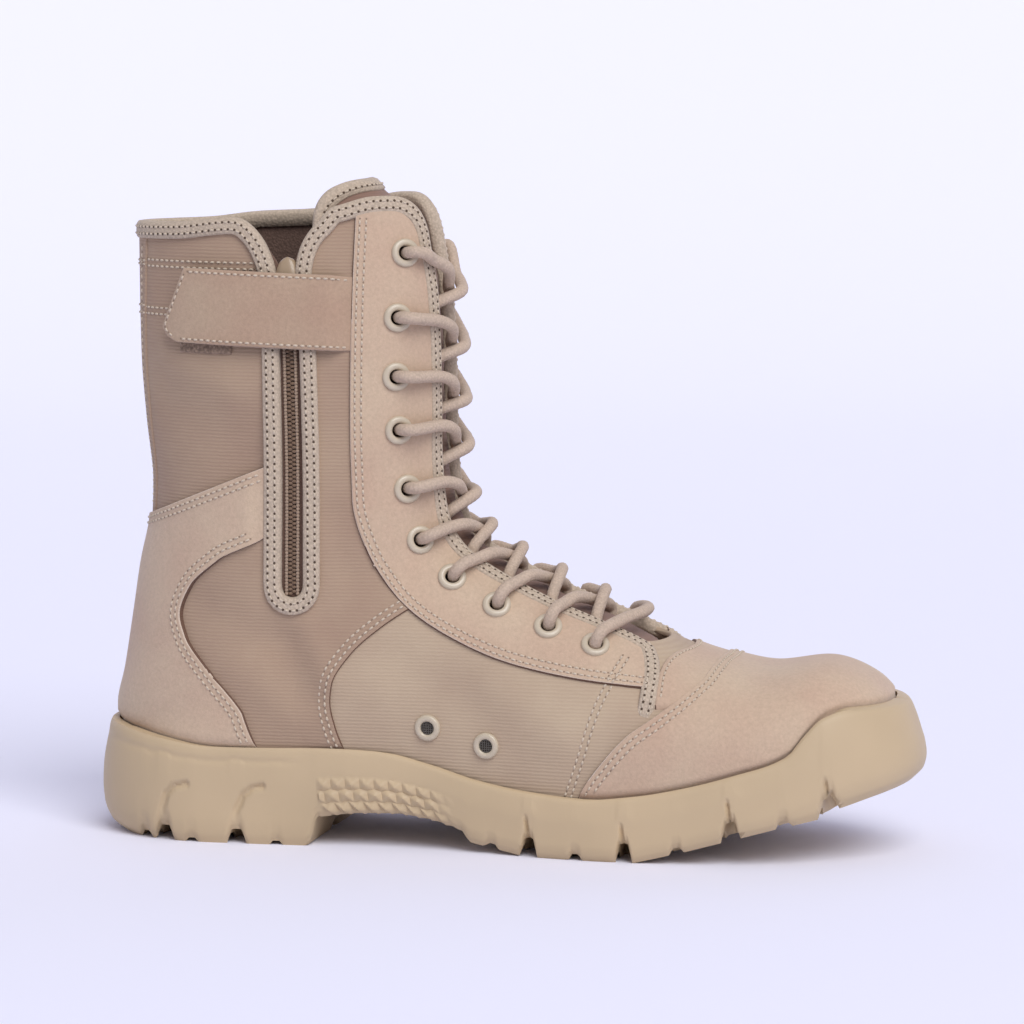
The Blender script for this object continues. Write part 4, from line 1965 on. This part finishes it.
LACE_OUT = EYELET_BASE + 1.1 + LACE_RADIUS + 0.1
LACE_OVER_TAPE = TAPE_LIFT + LACE_RADIUS + 0.1
LACE_UNDER = -WALL - 2.3
CROSSING_LIFT = {MEDIAL: 0.0, LATERAL: 4.4}
LACE_SHIFT = 0.9
STRAND_SHARES = {
    MEDIAL: (0.13, 0.29, 0.58, 0.76, 0.85, 0.95),
    LATERAL: (0.40, 0.54, 0.68, 0.80, 0.90, 0.98),
}
LACE_STEP = 0.9
LACE_SIDES = 14
BRAID_STRANDS = 3.0
BRAID_TURN = 2.0
BRAID_RELIEF = 0.055
SPLINE_STEPS = 14


def eyelet_spots(side):
    """Each eyelet's station, and its distance round the boot from the ridge."""
    centres = eyelet_centres(side)
    station, around = LAST.locate(centres[:, 0], centres[:, 2], side)
    return list(zip(station, (1.0 - around) * LAST.length(station, side)))


def lace_strand(spots, k, side):
    """From under one eyelet, over its facing, across the gap and under the other facing."""
    here, reach = spots[side][k]
    below, below_reach = spots[-side][k + 1]
    span = below - here
    gap = float(throat_half(here))
    a, b, c, d, e, f = STRAND_SHARES[side]
    return [
        (here, side * (reach - LACE_SHIFT), EYELET_BASE - 2.4),
        (here, side * (reach - LACE_SHIFT), EYELET_BASE + 0.4),
        (here + 0.01 * span, side * (reach - 2.0), LACE_OUT - 0.7),
        (here + 0.04 * span, side * (reach - 5.0), LACE_OUT + 0.1),
        (here + a * span, side * (gap + 3.0), LACE_OVER_TAPE),
        (here + b * span, side * (gap - 3.2), LACE_OVER_TAPE - 0.2),
        (here + c * span, 0.0001 * side, CROSSING_LIFT[side]),
        (here + d * span, -side * (gap - 3.6), -0.4),
        (here + e * span, -side * (gap + 0.6), LACE_UNDER + 0.6),
        (here + f * span, -side * (below_reach - 3.4), LACE_UNDER),
    ]


def lace_points(route):
    """Places of a route given by station, distance from the ridge and height off the last."""
    places = []
    for station, reach, lift in route:
        side = LATERAL if reach > 0.0 else MEDIAL
        around = 1.0 - abs(reach) / LAST.length(station, side)
        place, out = LAST.seat(station, around, side)
        places.append(place + lift * out)
    return np.array(places)


def spline(points, step):
    """Even points on a smooth curve through these."""
    ends = np.concatenate((2.0 * points[:1] - points[1:2], points, 2.0 * points[-1:] - points[-2:-1]))
    curve = []
    for i in range(1, len(ends) - 2):
        a, b, c, d = ends[i - 1], ends[i], ends[i + 1], ends[i + 2]
        t = np.linspace(0.0, 1.0, SPLINE_STEPS, endpoint=False)[:, None]
        bend = (2 * a - 5 * b + 4 * c - d) * t ** 2
        twist = (3 * b - a - 3 * c + d) * t ** 3
        curve.append(0.5 * (2 * b + (c - a) * t + bend + twist))
    curve.append(points[-1:])
    path = np.concatenate(curve)
    return evenly(path, path, step)[0]


def half_bar(station, reach, side):
    """The bar between the lowest eyelets, from under one of them to near the ridge."""
    return [
        (station, side * reach, EYELET_BASE - 2.4),
        (station, side * reach, EYELET_BASE + 0.4),
        (station - 0.02, side * (reach - 1.2), LACE_OUT - 0.7),
        (station - 0.08, side * (reach - 4.5), LACE_OUT + 0.1),
        (station - 0.30, side * 16.0, LACE_OVER_TAPE + 0.5),
        (station - 0.45, side * 7.0, LACE_OVER_TAPE + 0.9),
    ]


def lace_route():
    """Down from one top eyelet, over the bar between the lowest ones and up to the other top eyelet."""
    spots = {side: eyelet_spots(side) for side in SIDES}
    lowest = EYELET_COUNT - 1
    down, up = (
        [place for k in range(lowest) for place in lace_strand(spots, k, start * (-1) ** k)]
        for start in SIDES
    )
    end = MEDIAL * (-1) ** lowest
    near, far = (half_bar(*spots[side][lowest], side) for side in (end, -end))
    middle = (spots[end][lowest][0] - 0.48, end * 0.0001, LACE_OVER_TAPE + 1.1)
    return down + near + [middle] + far[::-1] + up[::-1]


def build_lace():
    path = spline(lace_points(lace_route()), LACE_STEP)
    ahead = unit(np.gradient(path, axis=0))
    across = np.empty(path.shape)
    previous = UPWARD
    for k in range(len(path)):
        previous = previous - np.dot(previous, ahead[k]) * ahead[k]
        previous = previous / np.linalg.norm(previous)
        across[k] = previous
    up = np.cross(ahead, across)
    turns = circle(LACE_SIDES)
    about = BRAID_STRANDS * turns[None, :]
    along = BRAID_TURN * (np.arange(len(path)) * LACE_STEP)[:, None]
    ring = LACE_RADIUS * (1.0 + BRAID_RELIEF * np.sin(about + along) * np.sin(about - along))
    points = path[:, None, :] + (ring * np.cos(turns))[..., None] * across[:, None, :]
    points = points + (ring * np.sin(turns))[..., None] * up[:, None, :]
    faces = hoop_faces(len(path), LACE_SIDES).tolist()
    faces.append(range(LACE_SIDES))
    faces.append(range((len(path) - 1) * LACE_SIDES, len(path) * LACE_SIDES))
    nodes = [f"lace_cross_{k + 1:02d}" for k in range(EYELET_COUNT - 1)] + ["lace_bar"]
    add_piece("lace", points, faces, ["cord"], "lace_cord", nodes, closed=True)


# Stage
AZIMUTH = math.radians(12.0)
ELEVATION = math.radians(6.2)
FRAME_PIXELS = 1024
PIXELS_PER_MM = 2.8
SENSOR = 36.0
WALL_BEHIND = 3.2
LIGHTS = (
    ("key", "SUN", (1.0, -1.5, 2.1), math.radians(40.0), 1.92),
    ("softbox", "AREA", (1.1, -1.2, 0.9), 0.8, 3.0),
)
STAGE_HALF = 6.0
STAGE_FRONT = -4.0
STAGE_TOP = 5.0
BEND = 1.6
SKY_COLOUR = "#F1F1FF"
SKY_STRENGTH = 0.46


def painted_backdrop(colour):
    """Matt paint on a seamless sheet: even and pale, with hardly any shine."""
    made = bpy.data.materials.new("painted_backdrop")
    made.use_nodes = True
    shader = made.node_tree.nodes["Principled BSDF"]
    shader.inputs["Base Color"].default_value = solid(colour)
    shader.inputs["Roughness"].default_value = 0.9
    shader.inputs["Specular IOR Level"].default_value = 0.1
    return made


def build_backdrop(scene):
    turn = np.linspace(0.0, 0.5 * math.pi, 24)
    profile = [(STAGE_FRONT, 0.0), (WALL_BEHIND - BEND, 0.0)]
    profile += [(WALL_BEHIND - BEND + BEND * math.sin(a), BEND - BEND * math.cos(a)) for a in turn[1:]]
    profile += [(WALL_BEHIND, STAGE_TOP)]
    points = [(x, y, z) for y, z in profile for x in (-STAGE_HALF, STAGE_HALF)]
    mesh = bpy.data.meshes.new("backdrop")
    mesh.from_pydata(points, [], grid_faces(len(profile), 2).tolist())
    mesh.materials.append(painted_backdrop(scene.boot_colours.backdrop))
    mesh.shade_smooth()
    floor = bpy.data.objects.new("backdrop", mesh)
    floor.rotation_euler = (0.0, 0.0, AZIMUTH)
    scene.collection.objects.link(floor)


def build_lights(scene, middle):
    world = bpy.data.worlds.new("studio")
    world.use_nodes = True
    sky = world.node_tree.nodes["Background"]
    sky.inputs["Color"].default_value = solid(linear(SKY_COLOUR))
    sky.inputs["Strength"].default_value = SKY_STRENGTH
    scene.world = world
    for name, kind, place, size, power in LIGHTS:
        light = bpy.data.lights.new(name, kind)
        light.energy = power
        if kind == "SUN":
            light.angle = size
        else:
            light.shape = "DISK"
            light.size = size
        lamp = bpy.data.objects.new(name, light)
        lamp.location = place
        lamp.rotation_euler = (middle - lamp.location).to_track_quat("-Z", "Y").to_euler()
        scene.collection.objects.link(lamp)


def build_camera(scene, middle):
    distance = scene.boot_sizes.camera_distance
    camera = bpy.data.cameras.new("camera")
    camera.sensor_width = SENSOR
    camera.lens = SENSOR * PIXELS_PER_MM * distance / MM / FRAME_PIXELS
    eye = bpy.data.objects.new("camera", camera)
    level = math.cos(ELEVATION)
    back = Vector((math.sin(AZIMUTH) * level, -math.cos(AZIMUTH) * level, math.sin(ELEVATION)))
    eye.location = middle + distance * back
    eye.rotation_euler = (-back).to_track_quat("-Z", "Y").to_euler()
    scene.collection.objects.link(eye)
    scene.camera = eye
    scene.view_settings.view_transform = "Standard"


class BOOT_OT_sole(bpy.types.Operator):
    """Moulds the sole with its tread, and lays the insole in it."""

    bl_idname = "boot.sole"
    bl_label = "Sole and insole"

    def execute(self, context):
        build_sole()
        build_insole()
        return {"FINISHED"}


class BOOT_OT_upper(bpy.types.Operator):
    """Makes the canvas upper with its lining, seams and creases."""

    bl_idname = "boot.upper"
    bl_label = "Upper"

    def execute(self, context):
        build_upper()
        sew_canvas()
        return {"FINISHED"}


class BOOT_OT_tongue(bpy.types.Operator):
    """Makes the padded tongue and its bound top."""

    bl_idname = "boot.tongue"
    bl_label = "Tongue"

    def execute(self, context):
        build_tongue()
        return {"FINISHED"}


class BOOT_OT_overlays(bpy.types.Operator):
    """Lays the suede overlays and the back strip on the upper, and sews them."""

    bl_idname = "boot.overlays"
    bl_label = "Overlays"

    def execute(self, context):
        build_toe()
        build_counter()
        build_eyestays()
        build_back_strip()
        return {"FINISHED"}


class BOOT_OT_binding(bpy.types.Operator):
    """Folds the tape over the throat, collar and zip edges, and sews it."""

    bl_idname = "boot.binding"
    bl_label = "Binding"

    def execute(self, context):
        build_binding()
        return {"FINISHED"}


class BOOT_OT_zip(bpy.types.Operator):
    """Makes the side zip, and the strap over its top."""

    bl_idname = "boot.zip"
    bl_label = "Zip and strap"

    def execute(self, context):
        build_zip_tape()
        build_zip_chain()
        build_zip_slider()
        build_strap()
        build_strap_patch()
        return {"FINISHED"}


class BOOT_OT_eyelets(bpy.types.Operator):
    """Sets the eyelets and the drain vents."""

    bl_idname = "boot.eyelets"
    bl_label = "Eyelets and vents"

    def execute(self, context):
        build_eyelets()
        build_vents()
        return {"FINISHED"}


class BOOT_OT_lace(bpy.types.Operator):
    """Runs the lace through the eyelets."""

    bl_idname = "boot.lace"
    bl_label = "Lace"

    def execute(self, context):
        build_lace()
        return {"FINISHED"}


class BOOT_OT_stage(bpy.types.Operator):
    """Sets up the backdrop, the lights and the camera."""

    bl_idname = "boot.stage"
    bl_label = "Stage"

    def execute(self, context):
        middle = 0.5 * (CAD_BOX[0] + CAD_BOX[1])
        build_backdrop(context.scene)
        build_lights(context.scene, middle)
        build_camera(context.scene, middle)
        return {"FINISHED"}


OPERATORS = (
    BOOT_OT_stage,
    BOOT_OT_sole,
    BOOT_OT_upper,
    BOOT_OT_tongue,
    BOOT_OT_overlays,
    BOOT_OT_binding,
    BOOT_OT_zip,
    BOOT_OT_eyelets,
    BOOT_OT_lace,
)


class BOOT_PT_panel(bpy.types.Panel):
    """Lists the boot's pieces with their sizes and colours."""

    bl_idname = "BOOT_PT_panel"
    bl_label = "Tactical boot"
    bl_space_type = "VIEW_3D"
    bl_region_type = "UI"
    bl_category = "Boot"

    def draw(self, context):
        for operator in OPERATORS:
            self.layout.operator(operator.bl_idname)
        for group in (context.scene.boot_sizes, context.scene.boot_colours):
            for name in group.__annotations__:
                self.layout.prop(group, name)


CLASSES = (BootColours, BootSizes, *OPERATORS, BOOT_PT_panel)


def register():
    for cls in CLASSES:
        bpy.utils.register_class(cls)
    bpy.types.Scene.boot_colours = bpy.props.PointerProperty(type=BootColours)
    bpy.types.Scene.boot_sizes = bpy.props.PointerProperty(type=BootSizes)


def unregister():
    del bpy.types.Scene.boot_sizes
    del bpy.types.Scene.boot_colours
    for cls in reversed(CLASSES):
        bpy.utils.unregister_class(cls)


def main():
    register()
    bpy.ops.boot.stage()
    bpy.ops.boot.sole()
    bpy.ops.boot.upper()
    bpy.ops.boot.tongue()
    bpy.ops.boot.overlays()
    bpy.ops.boot.binding()
    bpy.ops.boot.zip()
    bpy.ops.boot.eyelets()
    bpy.ops.boot.lace()


if __name__ == "__main__":
    main()
